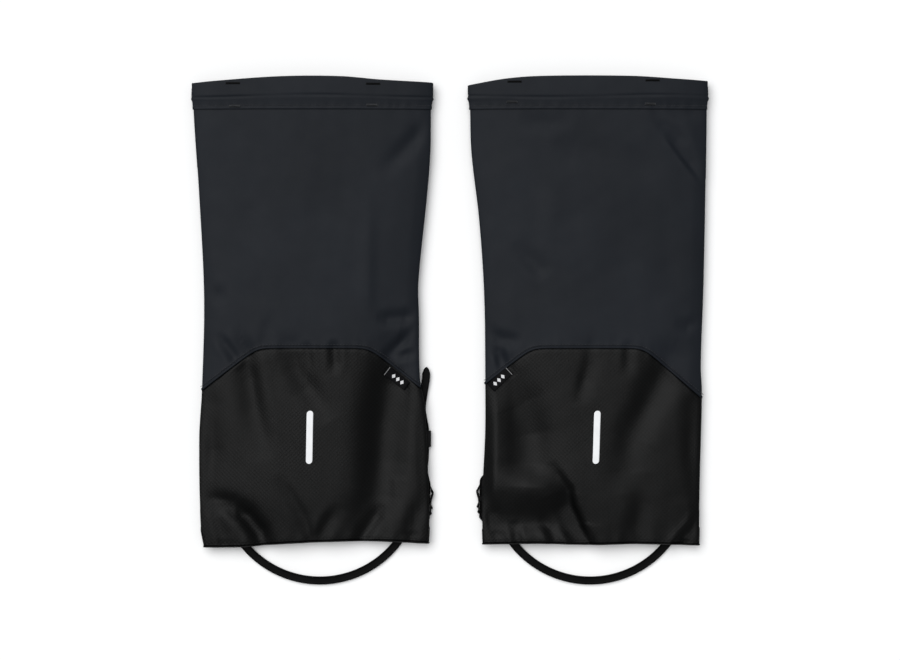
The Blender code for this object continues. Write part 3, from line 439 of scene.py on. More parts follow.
def on_calf(g, x, y, lift=0.0):
    """Points on the calf's outside, and the outward normals there."""
    x, y = np.asarray(x, float), np.asarray(y, float)
    e = 0.4
    z = calf_height(g, x, y)
    dx = (calf_height(g, x + e, y) - calf_height(g, x - e, y)) / (2 * e)
    dy = (calf_height(g, x, y + e) - calf_height(g, x, y - e)) / (2 * e)
    normal = np.stack([-dx, -dy, np.ones_like(z)], axis=-1)
    normal /= np.linalg.norm(normal, axis=-1, keepdims=True)
    return np.stack([x, y, z], axis=-1) + normal * lift, normal


def loft_mesh(g, name, rings, material, body, slot_name, replaced=(), uv=None):
    """A closed body through rings of points, rings x points x 3."""
    count, around_it = rings.shape[:2]
    faces = [list(f) for f in grid_faces(count, around_it, wrap=True)]
    faces.append(list(range(around_it))[::-1])
    faces.append(list(range((count - 1) * around_it, count * around_it)))
    piece = put(g, name, rings.reshape(-1, 3), faces, material, body, slot_name, replaced, uv)
    outward(piece)
    return piece


def spaced(path, pitch):
    """Points along a polyline at an even pitch, and the directions there."""
    path = np.asarray(path, float)
    run = np.r_[0, np.cumsum(np.linalg.norm(np.diff(path, axis=0), axis=1))]
    at = np.arange(pitch / 2, run[-1], pitch)

    def place(s):
        return np.stack([np.interp(s, run, path[:, k]) for k in range(path.shape[1])], axis=-1)

    heading = place(at + 0.5) - place(at - 0.5)
    return place(at), heading / np.maximum(np.linalg.norm(heading, axis=1, keepdims=True), 1e-9)


def stitch_row(path, normals_of, pitch, length, radius):
    """(points, faces) of a row of stitches along a path. normals_of gives the normals at points."""
    centres, runs = spaced(path, pitch)
    normals = normals_of(centres)
    sides = np.cross(normals, runs)
    profile = [(-0.5, 0.0), (-0.42, 0.75), (-0.15, 1.0), (0.15, 1.0), (0.42, 0.75), (0.5, 0.0)]
    ring = [(math.cos(2 * math.pi * k / 6), math.sin(2 * math.pi * k / 6)) for k in range(6)]
    points, faces = [], []
    for c, d, n, s in zip(centres, runs, normals, sides):
        base = len(points)
        for along, size in profile:
            if size == 0:
                points.append(c + d * along * length)
                continue
            for a, b in ring:
                points.append(c + d * along * length + (s * a + n * b) * radius * size)
        for k in range(6):
            m = (k + 1) % 6
            faces.append((base, base + 1 + m, base + 1 + k))
            for level in range(3):
                low = base + 1 + level * 6
                faces.append((low + k, low + m, low + 6 + m, low + 6 + k))
            top = base + 25
            faces.append((base + 19 + k, base + 19 + m, top))
    return np.array(points), faces


# Materials --------------------------------------------------------------------

class Nodes:
    """A Principled material with short calls for the nodes that feed it."""

    def __init__(self, name, roughness, metallic=0.0, specular=0.5):
        self.material = bpy.data.materials.new(name)
        self.material.use_nodes = True
        self.tree = self.material.node_tree
        self.shader = self.tree.nodes["Principled BSDF"]
        values = {"Roughness": roughness, "Metallic": metallic, "Specular IOR Level": specular}
        for socket, value in values.items():
            self.shader.inputs[socket].default_value = value
        self.where = self.tree.nodes.new("ShaderNodeTexCoord")

    def link(self, a, b):
        self.tree.links.new(a, b)

    def math(self, operation, a, b=None):
        node = self.tree.nodes.new("ShaderNodeMath")
        node.operation = operation
        for socket, value in zip(node.inputs, (a, b)):
            if value is None:
                continue
            if isinstance(value, (int, float)):
                socket.default_value = value
            else:
                self.link(value, socket)
        return node.outputs[0]

    def apart(self, a, b):
        return self.math("ABSOLUTE", self.math("SUBTRACT", a, b))

    def axes(self, use_uv=False):
        node = self.tree.nodes.new("ShaderNodeSeparateXYZ")
        self.link(self.where.outputs["UV" if use_uv else "Object"], node.inputs[0])
        return node.outputs

    def noise(self, scale, detail=3.0, roughness=0.55):
        """scale is in cells per metre of the object."""
        node = self.tree.nodes.new("ShaderNodeTexNoise")
        self.link(self.where.outputs["Object"], node.inputs["Vector"])
        node.inputs["Scale"].default_value = scale
        node.inputs["Detail"].default_value = detail
        node.inputs["Roughness"].default_value = roughness
        return node.outputs["Fac"]

    def ramp(self, value, low, high, at=(0.0, 1.0)):
        """A colour between low and high as value runs between the two places."""
        node = self.tree.nodes.new("ShaderNodeValToRGB")
        self.link(value, node.inputs[0])
        ends = node.color_ramp.elements
        for end, place, colour in zip(ends, at, (low, high)):
            end.position = place
            end.color = (*colour, 1)
        return node.outputs[0]

    def span(self, value, low, high, from_low=0.0, from_high=1.0):
        node = self.tree.nodes.new("ShaderNodeMapRange")
        self.link(value, node.inputs["Value"])
        ends = {"From Min": from_low, "From Max": from_high, "To Min": low, "To Max": high}
        for socket, number in ends.items():
            node.inputs[socket].default_value = number
        return node.outputs[0]

    def mixed(self, factor, a, b, blend="MIX"):
        node = self.tree.nodes.new("ShaderNodeMix")
        node.data_type = "RGBA"
        node.blend_type = blend
        for socket, value in ((node.inputs[0], factor), (node.inputs[6], a), (node.inputs[7], b)):
            if isinstance(value, (int, float)):
                socket.default_value = value
            elif isinstance(value, tuple):
                socket.default_value = (*value, 1)
            else:
                self.link(value, socket)
        return node.outputs[2]

    def bump(self, height, strength, distance_mm, under=None):
        node = self.tree.nodes.new("ShaderNodeBump")
        node.inputs["Strength"].default_value = strength
        node.inputs["Distance"].default_value = distance_mm * 0.001
        self.link(height, node.inputs["Height"])
        if under is not None:
            self.link(under, node.inputs["Normal"])
        return node.outputs[0]

    def checker_bumps(self, pitch_mm, stretch=1.0):
        """A height that rises and falls on a diagonal lattice, from -1 to 1."""
        axes = self.axes()
        wave = 2 * math.pi / (pitch_mm * 0.001)
        across = self.math("SINE", self.math("MULTIPLY", axes[0], wave))
        along = self.math("SINE", self.math("MULTIPLY", axes[1], wave / stretch))
        return self.math("MULTIPLY", across, along)

    def finish(self, colour=None, roughness=None, normal=None):
        for socket, value in (("Base Color", colour), ("Roughness", roughness), ("Normal", normal)):
            if isinstance(value, tuple):
                self.shader.inputs[socket].default_value = (*value, 1)
            elif value is not None:
                self.link(value, self.shader.inputs[socket])
        return self.material


def scaled(colour, factor):
    return tuple(c * factor for c in colour)


def softshell():
    """Smooth plain-weave shell fabric, dark charcoal with a little blue."""
    m = Nodes("softshell", 0.55, specular=0.125)
    base = (0.0077, 0.0097, 0.0135)
    weave = m.checker_bumps(0.62)
    mottle = m.noise(9, 4)
    tint = m.ramp(mottle, scaled(base, 0.86), scaled(base, 1.16), (0.3, 0.7))
    threads = m.ramp(m.span(weave, 0, 1, -1, 1), scaled((1, 1, 1), 0.86), (1, 1, 1))
    colour = m.mixed(1.0, tint, threads, "MULTIPLY")
    fibres = m.bump(m.noise(2600, 2), 0.12, 0.08)
    slub = m.bump(m.noise(160, 3), 0.25, 0.25, fibres)
    normal = m.bump(weave, 0.35, 0.05, slub)
    return m.finish(colour, m.span(m.noise(55, 3), 0.48, 0.62), normal)


def scuff_cloth():
    """Coarse ballistic weave with raised diamond dots, neutral black, with painted highlights on the dots."""
    m = Nodes("scuff_cloth", 0.40, specular=0.125)
    base = (0.0011, 0.0012, 0.0012)
    dots = m.checker_bumps(3.7)
    yarns = m.checker_bumps(0.62)
    mottle = m.ramp(m.noise(8, 4), scaled(base, 0.85), scaled(base, 1.15), (0.3, 0.7))
    # Painted highlight: the raised dots are painted up to 3.2 times lighter than the ground between them.
    lit = m.ramp(m.span(dots, 0, 1, -1, 1), (0.6, 0.6, 0.6), (3.2, 3.2, 3.2), (0.55, 0.98))
    colour = m.mixed(1.0, mottle, lit, "MULTIPLY")
    fine = m.bump(yarns, 0.4, 0.06, m.bump(m.noise(2200, 2), 0.15, 0.08))
    normal = m.bump(dots, 0.5, 0.09, fine)
    return m.finish(colour, m.span(dots, 0.42, 0.36, -1, 1), normal)


def webbing(name, base):
    """Woven tape: ribs across it and fine yarns."""
    m = Nodes(name, 0.72, specular=0.1)
    ribs = m.checker_bumps(1.1, stretch=1.6)
    worn = m.ramp(m.noise(40, 4), scaled(base, 0.8), scaled(base, 1.35), (0.35, 0.75))
    shade = m.ramp(m.span(ribs, 0, 1, -1, 1), scaled((1, 1, 1), 0.55), (1, 1, 1))
    normal = m.bump(ribs, 0.7, 0.15, m.bump(m.noise(1800, 2), 0.2, 0.1))
    return m.finish(m.mixed(1.0, worn, shade, "MULTIPLY"), m.span(m.noise(120, 2), 0.62, 0.82), normal)


def coated_strap():
    """Smooth coated strap with a pebbled skin and two pressed lines along it, from its UV map, with painted
    shade in the lines.
    """
    m = Nodes("coated_strap", 0.45, specular=0.028)
    axes = m.axes(use_uv=True)
    groove_and_painted_shade = m.span(m.apart(m.math("ABSOLUTE", axes[0]), 0.74), 0, 1, 0.0, 0.09)
    worn = m.ramp(m.noise(70, 4), (0.0022, 0.0022, 0.0023), (0.0048, 0.0048, 0.005), (0.3, 0.8))
    # Painted shade: the colour darkens to 0.55 along the two pressed lines.
    colour = m.mixed(1.0, worn, m.ramp(groove_and_painted_shade, (0.55, 0.55, 0.55), (1, 1, 1)), "MULTIPLY")
    normal = m.bump(groove_and_painted_shade, 0.6, 0.25, m.bump(m.noise(900, 3), 0.25, 0.12))
    return m.finish(colour, m.span(m.noise(240, 3), 0.3, 0.5), normal)


def moulded_plastic():
    m = Nodes("moulded_plastic", 0.45, specular=0.04)
    worn = m.ramp(m.noise(90, 4), (0.0020, 0.0020, 0.0022), (0.0050, 0.0050, 0.0054), (0.35, 0.8))
    normal = m.bump(m.noise(1500, 3), 0.25, 0.1)
    return m.finish(worn, m.span(m.noise(200, 3), 0.36, 0.55), normal)


def plated_metal():
    """Dark nickel plate with brushed streaks and small scuffs."""
    m = Nodes("plated_metal", 0.34, metallic=1.0)
    streaks = m.noise(700, 2)
    tone = m.ramp(m.noise(140, 4), (0.20, 0.205, 0.215), (0.36, 0.365, 0.375), (0.3, 0.75))
    normal = m.bump(streaks, 0.12, 0.05)
    return m.finish(tone, m.span(m.noise(320, 4), 0.24, 0.46), normal)


def reflective_film():
    """Glass-bead film: a fine grey honeycomb under a pale silver face."""
    m = Nodes("reflective_film", 0.42, specular=0.5)
    beads = m.checker_bumps(0.5)
    tone = m.ramp(m.span(beads, 0, 1, -1, 1), (0.74, 0.75, 0.77), (0.84, 0.85, 0.86))
    soiled = m.ramp(m.noise(120, 4), (0.93, 0.93, 0.93), (1, 1, 1), (0.3, 0.6))
    normal = m.bump(beads, 0.3, 0.04)
    return m.finish(m.mixed(1.0, tone, soiled, "MULTIPLY"), m.span(m.noise(260, 2), 0.36, 0.5), normal)


def thread(name, colour):
    m = Nodes(name, 0.65, specular=0.12)
    tone = m.ramp(m.noise(400, 3), scaled(colour, 0.75), scaled(colour, 1.25), (0.3, 0.7))
    return m.finish(tone, m.span(m.noise(900, 2), 0.5, 0.7), m.bump(m.noise(3000, 2), 0.4, 0.08))


def label_cloth():
    """Woven label: fine satin ribs, dark, with a light line near its upper end and three plain lozenges."""
    m = Nodes("label_cloth", 0.6, specular=0.06)
    axes = m.axes(use_uv=True)
    ribs = m.math("SINE", m.math("MULTIPLY", axes[0], 260.0))
    rows = m.math("SINE", m.math("MULTIPLY", axes[1], 95.0))
    weave = m.math("MULTIPLY", ribs, rows)
    line = m.math("LESS_THAN", m.apart(axes[0], 0.045), 0.011)
    mark = None
    for centre in (0.36, 0.56, 0.76):
        across = m.math("MULTIPLY", m.apart(axes[0], centre), 1 / 0.075)
        along = m.math("MULTIPLY", m.apart(axes[1], 0.5), 1 / 0.26)
        lozenge = m.math("LESS_THAN", m.math("ADD", across, along), 1.0)
        mark = lozenge if mark is None else m.math("MAXIMUM", mark, lozenge)
    light = m.math("MAXIMUM", m.math("MULTIPLY", line, 0.35), mark)
    dark = m.ramp(m.noise(300, 3), (0.0015, 0.0015, 0.0018), (0.0035, 0.0035, 0.0040), (0.3, 0.7))
    colour = m.mixed(light, dark, (0.62, 0.62, 0.63))
    return m.finish(colour, m.span(weave, 0.5, 0.7, -1, 1), m.bump(weave, 0.5, 0.06))


def hook_face(name, base, scale, depth):
    """The face of hook and loop tape."""
    m = Nodes(name, 0.8, specular=0.1)
    tufts = m.noise(scale, 3, 0.7)
    tone = m.ramp(tufts, scaled(base, 0.5), scaled(base, 1.6), (0.35, 0.68))
    return m.finish(tone, m.span(tufts, 0.7, 0.95), m.bump(tufts, 0.9, depth))


MATERIALS = {
    "shell": softshell(),
    "scuff": scuff_cloth(),
    "webbing": webbing("woven_webbing", (0.0065, 0.0065, 0.0070)),
    "strap": coated_strap(),
    "plastic": moulded_plastic(),
    "metal": plated_metal(),
    "reflective": reflective_film(),
    "label": label_cloth(),
    "hook": hook_face("hook_face", (0.007, 0.007, 0.0075), 1100, 0.5),
    "loop": hook_face("loop_face", (0.009, 0.009, 0.0095), 2400, 0.3),
    "thread": thread("dark_thread", (0.024, 0.026, 0.030)),
    "black_thread": thread("black_thread", (0.005, 0.005, 0.005)),
    "pale_thread": thread("pale_thread", (0.050, 0.052, 0.056)),
}


# Fabric pieces ----------------------------------------------------------------

def along_seam(g, offset, shares):
    """x and y along the arch, moved square to it by offset, up the leg."""
    x = spread(g, shares, -45.0)
    slope = (seam_y(g, x + 0.2) - seam_y(g, x - 0.2)) / 0.4
    scale = offset / np.sqrt(1 + slope**2)
    return x - slope * scale, seam_y(g, x) + scale


def past_seam(g, points):
    return points[..., 1] - seam_y(g, points[..., 0])


def lifted(points, rise):
    """Moves the points on the calf side up."""
    moved = points.copy()
    moved[..., 2] += rise * (points[..., 2] > EDGE_HEIGHT)
    return moved


def panels(g):
    """The two fabric panels. The upper one laps over the lower one at the arch."""
    def hem(x, _):
        return curve(g.hem, x) + 0.6

    def seam(x, calf):
        side = np.where(x > 0, curve(g.inner, ARCH_LEVEL), -curve(g.outer, ARCH_LEVEL))
        return seam_y(g, np.where(calf, x, side))

    outside = tube(g, 110, hem, lambda x, calf: seam(x, calf) + 3.0 * calf)
    # Its head sinks under the upper panel's edge.
    sunk = lifted(outside, -0.9 * ease((past_seam(g, outside) + 3.0) / 3.0))
    lower = cloth_grid(g, "lower_panel", sunk, MATERIALS["scuff"], g.body, "scuff", ("lower_shell",))
    outside = tube(g, 130, seam, lambda x, _: np.full_like(x, CUFF_FOOT + 3.0))
    # Its turned edge stands up a little.
    turned = lifted(outside, 0.35 * (1 - ease(past_seam(g, outside) / 6.0)))
    upper = cloth_grid(g, "upper_panel", turned, MATERIALS["shell"], g.body, "shell", ("upper_shell",))
    width = float(curve(g.inner, 0.0) + curve(g.outer, 0.0)) * 2 * 0.001


def hem_fold(g):
    """The turned hem: a rounded edge, and a facing inside it."""
    share, calf = around()
    x = spread(g, share, HEM_LEVEL)
    profile = [(0.75, 0.42), (0.3, 0.34), (0.02, 0.0), (0.08, -0.45), (0.6, -0.75), (2, -0.8), (6, -0.8),
               (HEM_BAND, -0.8)]
    rows = []
    for up, out in profile:
        middle = row_of(g, x, curve(g.hem, x) + up, calf)
        rows.append(middle + row_normals(middle) * out)
    cloth_grid(g, "hem_fold", np.array(rows), MATERIALS["scuff"], g.body, "scuff", ("hem_band",), 0.5)


def seam_bead(g):
    """The rolled edge of the upper panel where it is sewn down along the arch."""
    shares = np.sin(np.linspace(-1, 1, 150) * math.pi / 2 * 0.955)
    ring = [(-0.95, -0.25), (-0.8, 0.35), (-0.3, 0.75), (0.35, 0.8), (1.0, 0.5), (1.3, -0.2), (0.3, -0.6)]
    x, y = along_seam(g, 0.0, shares)
    centre, normal = on_calf(g, x, y)
    run = np.gradient(centre, axis=0)
    run /= np.linalg.norm(run, axis=1, keepdims=True)
    side = np.cross(normal, run)
    rings = np.array([[c + s * a + n * (b + 0.15) for a, b in ring] for c, s, n in zip(centre, side, normal)])
    loft_mesh(g, "seam_bead", rings, MATERIALS["shell"], g.body, "shell", ("seam_piping",))


def cuff_band(g):
    """The channel around the top: a folded band, open at its mouths on the front."""
    share, calf = around()
    x = spread(g, share, CUFF_LEVEL)
    keep = calf | (np.abs(x) > CUFF_MOUTH - 0.5)
    share, calf, x = share[keep], calf[keep], x[keep]
    top = curve(g.top, x)
    rows = []
    for t in np.linspace(0, 1, 30):
        rows.append(cuff_row(g, x, CUFF_FOOT - 0.4 + (top - CUFF_FOOT - 0.5) * t, calf, share))
    for out, down in ((1.25, 0.35), (0.5, 0.05), (-0.5, 0.05), (-1.2, 0.4)):
        rows.append(cuff_row(g, x, top - down, calf, share, out))
    for t in np.linspace(1, 0, 12):
        rows.append(cuff_row(g, x, CUFF_FOOT + 1.5 + (top - CUFF_FOOT - 2.4) * t, calf, share, -1.35))
    band = cloth_grid(g, "cuff_band", np.array(rows), MATERIALS["shell"], g.body, "shell", ("cuff",), 0.6)
    width = float(curve(g.inner, CUFF_LEVEL) + curve(g.outer, CUFF_LEVEL)) * 2 * 0.001


def cuff_row(g, x, y, calf, share, out=None):
    """One ring of the cuff. Its outside is flat at the foot, drawn in by the stitches and full above them."""
    middle = row_of(g, x + np.sign(x) * nub(y) * np.abs(share) ** 12, y, calf)
    if out is None:
        foot = 0.44 + 0.09 * ease((np.abs(share) - 0.66) / 0.2)
        above = y - CUFF_STITCHES
        out = foot + 1.14 * ease(above / 11) - 0.12 * np.exp(-((above / 1.2) ** 2))
        crease = 216.6 + 1.1 * np.cos(x / 34 + g.phase)
        deep = 0.25 + 0.55 * np.sin(x / 29 + 1.3 + g.phase) ** 2
        gathers = 0.22 * np.sin(x / 1.5 + 2 * np.sin(x / 11)) * np.exp(-np.abs(above) / 2.5)
        out = out + calf * (gathers - deep * np.exp(-(((y - crease) / 0.9) ** 2)))
    return middle + row_normals(middle) * np.broadcast_to(out, x.shape)[:, None]


def calf_stitches(g, name, x, y, material, slot_name, lift, size):
    """A row of stitches on the calf side. size is (pitch, length, radius)."""
    path, _ = on_calf(g, x, y, lift)
    row = stitch_row(path, lambda c: on_calf(g, c[:, 0], c[:, 1])[1], *size)
    put(g, name, *row, MATERIALS[material], g.body, slot_name)


def stitching(g):
    """Rows of stitches above the arch, along the hem and at the foot of the cuff."""
    shares = np.sin(np.linspace(-1, 1, 400) * math.pi / 2 * STITCHED_SHARE)
    x, y = along_seam(g, 2.6, shares)
    calf_stitches(g, "arch_stitches", x, y, "thread", "shell", 0.42, (3.0, 2.3, 0.34))
    x = spread(g, shares, -196.0)
    y = curve(g.hem, x) + 3.7
    calf_stitches(g, "hem_stitches", x, y, "black_thread", "scuff", 0.05, (2.9, 2.1, 0.28))
    x = spread(g, shares, 206.0)
    y = np.full_like(x, CUFF_STITCHES)
    calf_stitches(g, "cuff_stitches", x, y, "thread", "shell", 0.2, (2.9, 2.2, 0.3))


def bartack(g, name, centre, material, length, width, lift):
    """A dense zigzag bar of thread. It also draws the cuff slots' painted shadow as dark bars."""
    strokes, thread_radius, sides = 30, 0.32, 5
    stroke = np.arange(strokes + 1)
    x = centre[0] + length * (stroke / strokes - 0.5)
    y = centre[1] + width * (stroke % 2 - 0.5)
    path, normal = on_calf(g, x, y, lift)
    turn = 2 * math.pi * np.arange(sides) / sides
    ring = thread_radius * np.stack([np.cos(turn), np.sin(turn)], axis=-1)
    rings = np.array([[c + np.array([a, 0, 0]) + n * b for a, b in ring] for c, n in zip(path, normal)])
    loft_mesh(g, f"cuff_{name}", rings, material, g.body, "shell")


def cuff_details(g):
    for i, centre in enumerate(g.bartacks):
        bartack(g, f"bartack_{i + 1}", centre, MATERIALS["pale_thread"], length=10.0, width=2.2, lift=0.6)
    # Painted shadow: the slots are recesses in shade, drawn as dark bars of black thread.
    for i, centre in enumerate(g.slots):
        bartack(g, f"slot_{i + 1}", centre, MATERIALS["black_thread"], length=13.0, width=2.0, lift=1.1)


def patch(g, name, columns, rows, place, lift, thickness, material, slot_name, node):
    """A thin piece bonded or sewn on the calf. place(u, v) gives x and y, and lift(u, v) its height."""
    u, v = np.meshgrid(np.linspace(0, 1, columns), np.linspace(0, 1, rows))
    x, y = place(u, v)
    points, _ = on_calf(g, x, y, 0)
    points[..., 2] += lift(u, v)
    uv = np.stack([u, v], axis=-1).reshape(-1, 2)
    faces = grid_faces(rows, columns)
    piece = put(g, name, points.reshape(-1, 3), faces, material, g.body, slot_name, (node,), uv)
    thicken(piece, thickness)


def strip_and_label(g):
    top, foot, radius = -74.0, -123.0, 3.0
    low_x, high_x = g.strip

    def strip(u, v):
        # Rows crowd towards the two round ends.
        y = foot + (top - foot) * (1 - np.cos(v * math.pi)) / 2
        near = np.minimum(y - foot, top - y)
        half = np.where(near > radius, radius, np.sqrt(np.maximum(radius**2 - (radius - near) ** 2, 0.0004)))
        return low_x + (high_x - low_x) * v + half * (2 * u - 1), y

    patch(g, "reflective_bar", 9, 60, strip, lambda u, v: 0.42 + 0 * u, 0.3, MATERIALS["reflective"],
          "reflective", "reflective_strip")

    length, width = 24.0, 9.2
    cx, cy, lean = g.label
    along = np.array([math.cos(math.radians(lean)), math.sin(math.radians(lean))])
    up = np.array([-along[1], along[0]])

    def cloth(u, v):
        a, b = length * (u - 0.5), width * (v - 0.5)
        return cx + along[0] * a + up[0] * b, cy + along[1] * a + up[1] * b

    def curl(u, v):
        return 0.5 + 0.9 * (1 - v) ** 1.5 + 0.15 * np.sin(u * 9)

    patch(g, "woven_label", 25, 11, cloth, curl, 0.5, MATERIALS["label"], "label", "label")


def storm_flap(g):
    """The front flap: a stiffened strip with rounded corners and a sewn edge."""
    u, v = np.meshgrid(np.linspace(0, 1, 23), np.linspace(0, 1, 121))
    x0, x1, y0, y1 = FLAP_HINGE_X, FLAP_FREE_X, FLAP_FOOT, FLAP_HEAD
    corner = 9.0
    y = y0 + (y1 - y0) * v
    near = np.minimum(y - y0, y1 - y)
    cut = np.where(near < corner, corner - np.sqrt(np.maximum(corner**2 - (corner - near) ** 2, 0)), 0)
    x = x0 + (x1 - cut - x0) * u
    z = FLAP_BASE + FLAP_THICKNESS + 0.12 * np.sin(y / 9 + g.phase) * np.sin(u * 3.1) - 0.1
    body = f"{g.name}_flap"
    points = np.stack([x, y, z], axis=-1).reshape(-1, 3)
    faces = grid_faces(*u.shape)
    piece = put(g, "front_flap", points, faces, MATERIALS["shell"], body, "shell", ("storm_flap",))
    thicken(piece, 0.9)
    edge = [(x0 + 3, y0 + 3), (x1 - 8, y0 + 3), (x1 - 3, y0 + 9),
            (x1 - 3, y1 - 9), (x1 - 8, y1 - 3), (x0 + 3, y1 - 3)]
    path = np.array([(a, b, FLAP_BASE) for a, b in edge])
    down = np.array([0.0, 0.0, -1.0])
    put(g, "flap_stitches", *stitch_row(path, lambda c: np.tile(down, (len(c), 1)), 3.0, 2.3, 0.3),
        MATERIALS["thread"], body, "shell")


# The instep strap -------------------------------------------------------------

def lateral_marks(g):
    """The strap's route from the arc through the buckle to the tail's tip."""
    end, run = arc_end(g, 1)
    bend = end + run * 13
    centre, lean = np.array(g.buckle[:2]), math.radians(g.buckle[2])
    marks = [(*end, 0.0), (*bend, 0.2)]
    for along, inward in ((-18, 1.0), (-14.3, 0), (-8, 0), (0, 0), (8, 0), (14.3, 0), (18, 1.0)):
        x, y = centre + np.array([math.sin(lean), math.cos(lean)]) * along
        marks.append((x - inward, y, THREADED_BASE))
    tail = ((-130, -1.2), (-119, -0.3), (-108, 0), (-92, 0), (-74, -2.9), (-60, -1.6), (-46, 0.7),
            (-39.5, 1.1), (-33.8, 1.3))
    return marks + [(g.tail_x + offset, y, THREADED_BASE) for y, offset in tail]


def medial_marks(g):
    """The strap's route from beyond the rivet to the arc."""
    end, run = arc_end(g, -1)
    rivet = rivet_place(g)
    beyond = rivet + run * 6
    middle = (end + rivet) / 2
    return [(*beyond, THREADED_BASE), (*rivet, THREADED_BASE), (*middle, 0.6), (*end, 0.0)]


def smooth_path(marks, per_span=6):
    tracks = [[(i, mark[axis]) for i, mark in enumerate(marks)] for axis in range(3)]
    t = np.arange((len(marks) - 1) * per_span + 1) / per_span
    path = np.stack([curve(track, t) for track in tracks], axis=-1)
    path[:, 2] = np.maximum(path[:, 2], 0)
    return path


def instep_strap(g):
    """One continuous strap: rivet, arc under the boot, buckle, keeper and rounded tail."""
    angles = np.linspace(-STRAP_HALF_ANGLE, STRAP_HALF_ANGLE, 60)[1:-1]
    arc = [(g.strap_x + STRAP_RADIUS * math.sin(a), STRAP_CENTRE_Y - STRAP_RADIUS * math.cos(a), 0.0)
           for a in angles]
    path = np.concatenate([smooth_path(medial_marks(g)), arc, smooth_path(lateral_marks(g))])
    run = np.gradient(path[:, :2], axis=0)
    run /= np.linalg.norm(run, axis=1, keepdims=True)
    side = np.stack([run[:, 1], -run[:, 0]], axis=-1)
    length = np.r_[0, np.cumsum(np.linalg.norm(np.diff(path, axis=0), axis=1))]
    from_tip = length[-1] - length
    width = STRAP_WIDTH / 2 * np.sqrt(np.clip(from_tip / 6.0, 0.01, 1))
    half = [(1, 0.2), (1, 0.78), (0.95, 0.95), (0.86, 1.0), (0.74, 0.96), (0.66, 0.88), (0.3, 0.9)]
    profile = [(-a, b) for a, b in half] + half[::-1] + [(0.9, 0.02), (0, 0.0), (-0.9, 0.02)]
    rings = np.empty((len(path), len(profile), 3))
    uv = np.empty((len(path), len(profile), 2))
    for k, (a, b) in enumerate(profile):
        rings[:, k, :2] = path[:, :2] + side * (width * a)[:, None]
        rings[:, k, 2] = path[:, 2] + STRAP_THICKNESS * b
        uv[:, k, 0], uv[:, k, 1] = a, length / 10
    strap = loft_mesh(g, "instep_strap", rings, MATERIALS["strap"], None, "strap",
                      ("instep_loop", "instep_tail", "instep_riveted_end"), uv.reshape(-1, 2))
    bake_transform(strap)


# Pieces that keep the CAD model's shape ---------------------------------------

SOFT_COPIES = {
    # node: (piece, body's ending, material, slot, rounding in mm)
    "hook_tape": ("hook_strip", "flap", "hook", "webbing", 0.3),
    "loop_tape": ("loop_strip", "gaiter", "loop", "webbing", 0.3),
    "cuff_webbing": ("cuff_strap", "gaiter", "webbing", "webbing", 0.35),
    "cuff_buckle_tab": ("cuff_tab", "gaiter", "webbing", "webbing", 0.35),
    "lace_hook_tab": ("hook_tab", "gaiter", "webbing", "webbing", 0.35),
    "rivet_tab": ("strap_tab", "gaiter", "webbing", "webbing", 0.3),
    "buckle_tab": ("side_tab", "gaiter", "webbing", "webbing", 0.35),
    "strap_keeper": ("keeper_loop", "gaiter", "webbing", "webbing", 0.35),
}
HARD = {
    "cuff_buckle": ("plastic", 0.5), "cuff_cam_lever": ("plastic", 0.35), "instep_buckle": ("plastic", 0.6),
    "cuff_buckle_pin": ("metal", 0.15), "lace_hook": ("metal", 0.2), "strap_rivet": ("metal", 0.2),
    "bottom_snap_cap": ("metal", 0.2), "bottom_snap_stud": ("metal", 0.2),
    "top_snap_cap": ("metal", 0.2), "top_snap_stud": ("metal", 0.2),
}


def bevel(piece, width):
    modifier = piece.modifiers.new("rounding", "BEVEL")
    modifier.width = width * 0.001
    modifier.segments = 3
    modifier.limit_method = "ANGLE"
    modifier.angle_limit = math.radians(35)
    modifier.harden_normals = True


def soft_copy(g, node, piece_name, ending, material, slot_name, rounding):
    """A rounded fabric piece with the CAD node's shape."""
    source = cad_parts[f"{g.name}_{node}"]
    bm = bmesh.new()
    bm.from_mesh(source.data)
    bmesh.ops.remove_doubles(bm, verts=bm.verts, dist=1e-6)
    bmesh.ops.dissolve_limit(bm, angle_limit=math.radians(1), verts=bm.verts, edges=bm.edges)
    mesh = bpy.data.meshes.new(f"{g.name}_{piece_name}")
    bm.to_mesh(mesh)
    bm.free()
    mesh.shade_smooth()
    mesh.materials.clear()
    mesh.materials.append(MATERIALS[material])
    piece = new_object(f"{g.name}_{piece_name}", mesh)
    bevel(piece, rounding)
    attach(piece, f"{g.name}_{ending}")
    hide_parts(f"{g.name}_{node}")


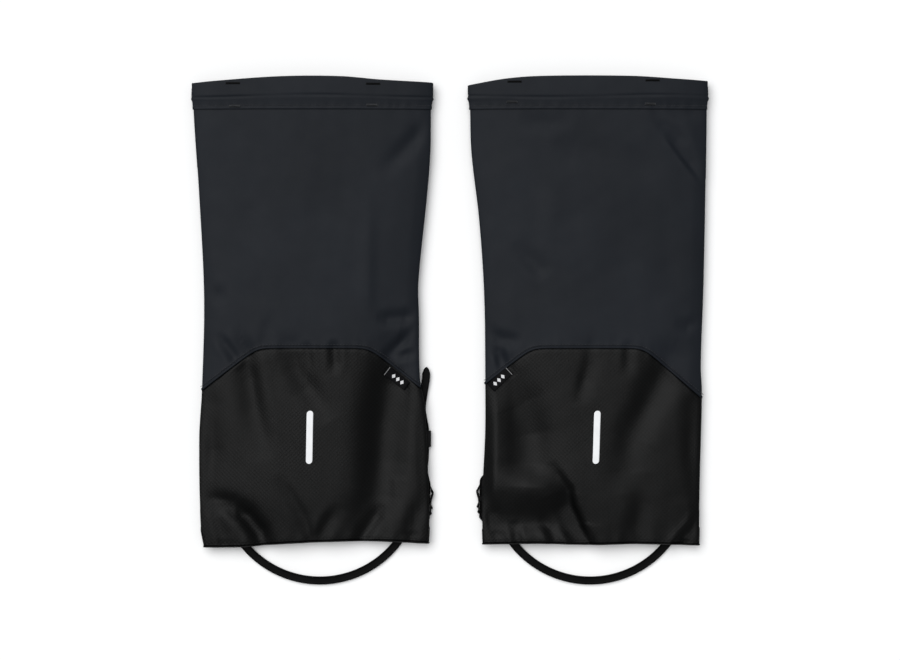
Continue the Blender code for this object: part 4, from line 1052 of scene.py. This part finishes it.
def carried_over(g):
    """Copies the soft CAD pieces, and finishes the hard ones in place."""
    for node, how in SOFT_COPIES.items():
        soft_copy(g, node, *how)
    for node, (material, rounding) in HARD.items():
        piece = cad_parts[f"{g.name}_{node}"]
        piece.data.materials.clear()
        piece.data.materials.append(MATERIALS[material])
        weld = piece.modifiers.new("weld", "WELD")
        weld.merge_threshold = 1e-6
        piece.data.shade_smooth()
        bevel(piece, rounding)


# Table, light and camera ------------------------------------------------------

def table_top():
    mesh = bpy.data.meshes.new("table_top")
    size, low = 6.0, -0.0004
    mesh.from_pydata([(-size, -size, low), (size, -size, low), (size, size, low), (-size, size, low)], [],
                     [(0, 1, 2, 3)])
    floor = new_object("table_top", mesh)
    m = Nodes("table_top", 0.85, specular=0.1)
    mesh.materials.append(m.finish((0.93, 0.93, 0.93)))


def sun(name, towards, strength, spread):
    light = bpy.data.lights.new(name, "SUN")
    light.energy = strength
    light.angle = math.radians(spread)
    lamp = new_object(name, light)
    lamp.rotation_mode = "QUATERNION"
    lamp.rotation_quaternion = Vector(towards).to_track_quat("-Z", "Y")


def studio():
    """A white room, one wide and tilted sun, and a camera straight above."""
    scene = bpy.context.scene
    scene.view_settings.view_transform = "Standard"
    world = bpy.data.worlds.new("studio")
    scene.world = world
    world.use_nodes = True
    background = world.node_tree.nodes["Background"]
    background.inputs["Color"].default_value = (0.97, 0.985, 1.0, 1)
    background.inputs["Strength"].default_value = 0.35
    sun("key", (0.30, -0.38, -1.0), 2.7, 62)
    camera = bpy.data.cameras.new("camera")
    camera.sensor_width = 36
    camera.clip_start, camera.clip_end = 0.05, 50
    height, sharp_height = 2.3, 0.012
    camera.lens = camera.sensor_width * (height - sharp_height) / VIEW_WIDTH_AT_TABLE
    scene.camera = new_object("camera", camera)
    scene.camera.location = (0.0001, 0.0, height)


def dress(g):
    panels(g)
    hem_fold(g)
    seam_bead(g)
    cuff_band(g)
    stitching(g)
    cuff_details(g)
    strip_and_label(g)
    storm_flap(g)
    instep_strap(g)
    carried_over(g)


studio()
table_top()
for gaiter in (LEFT, RIGHT):
    dress(gaiter)
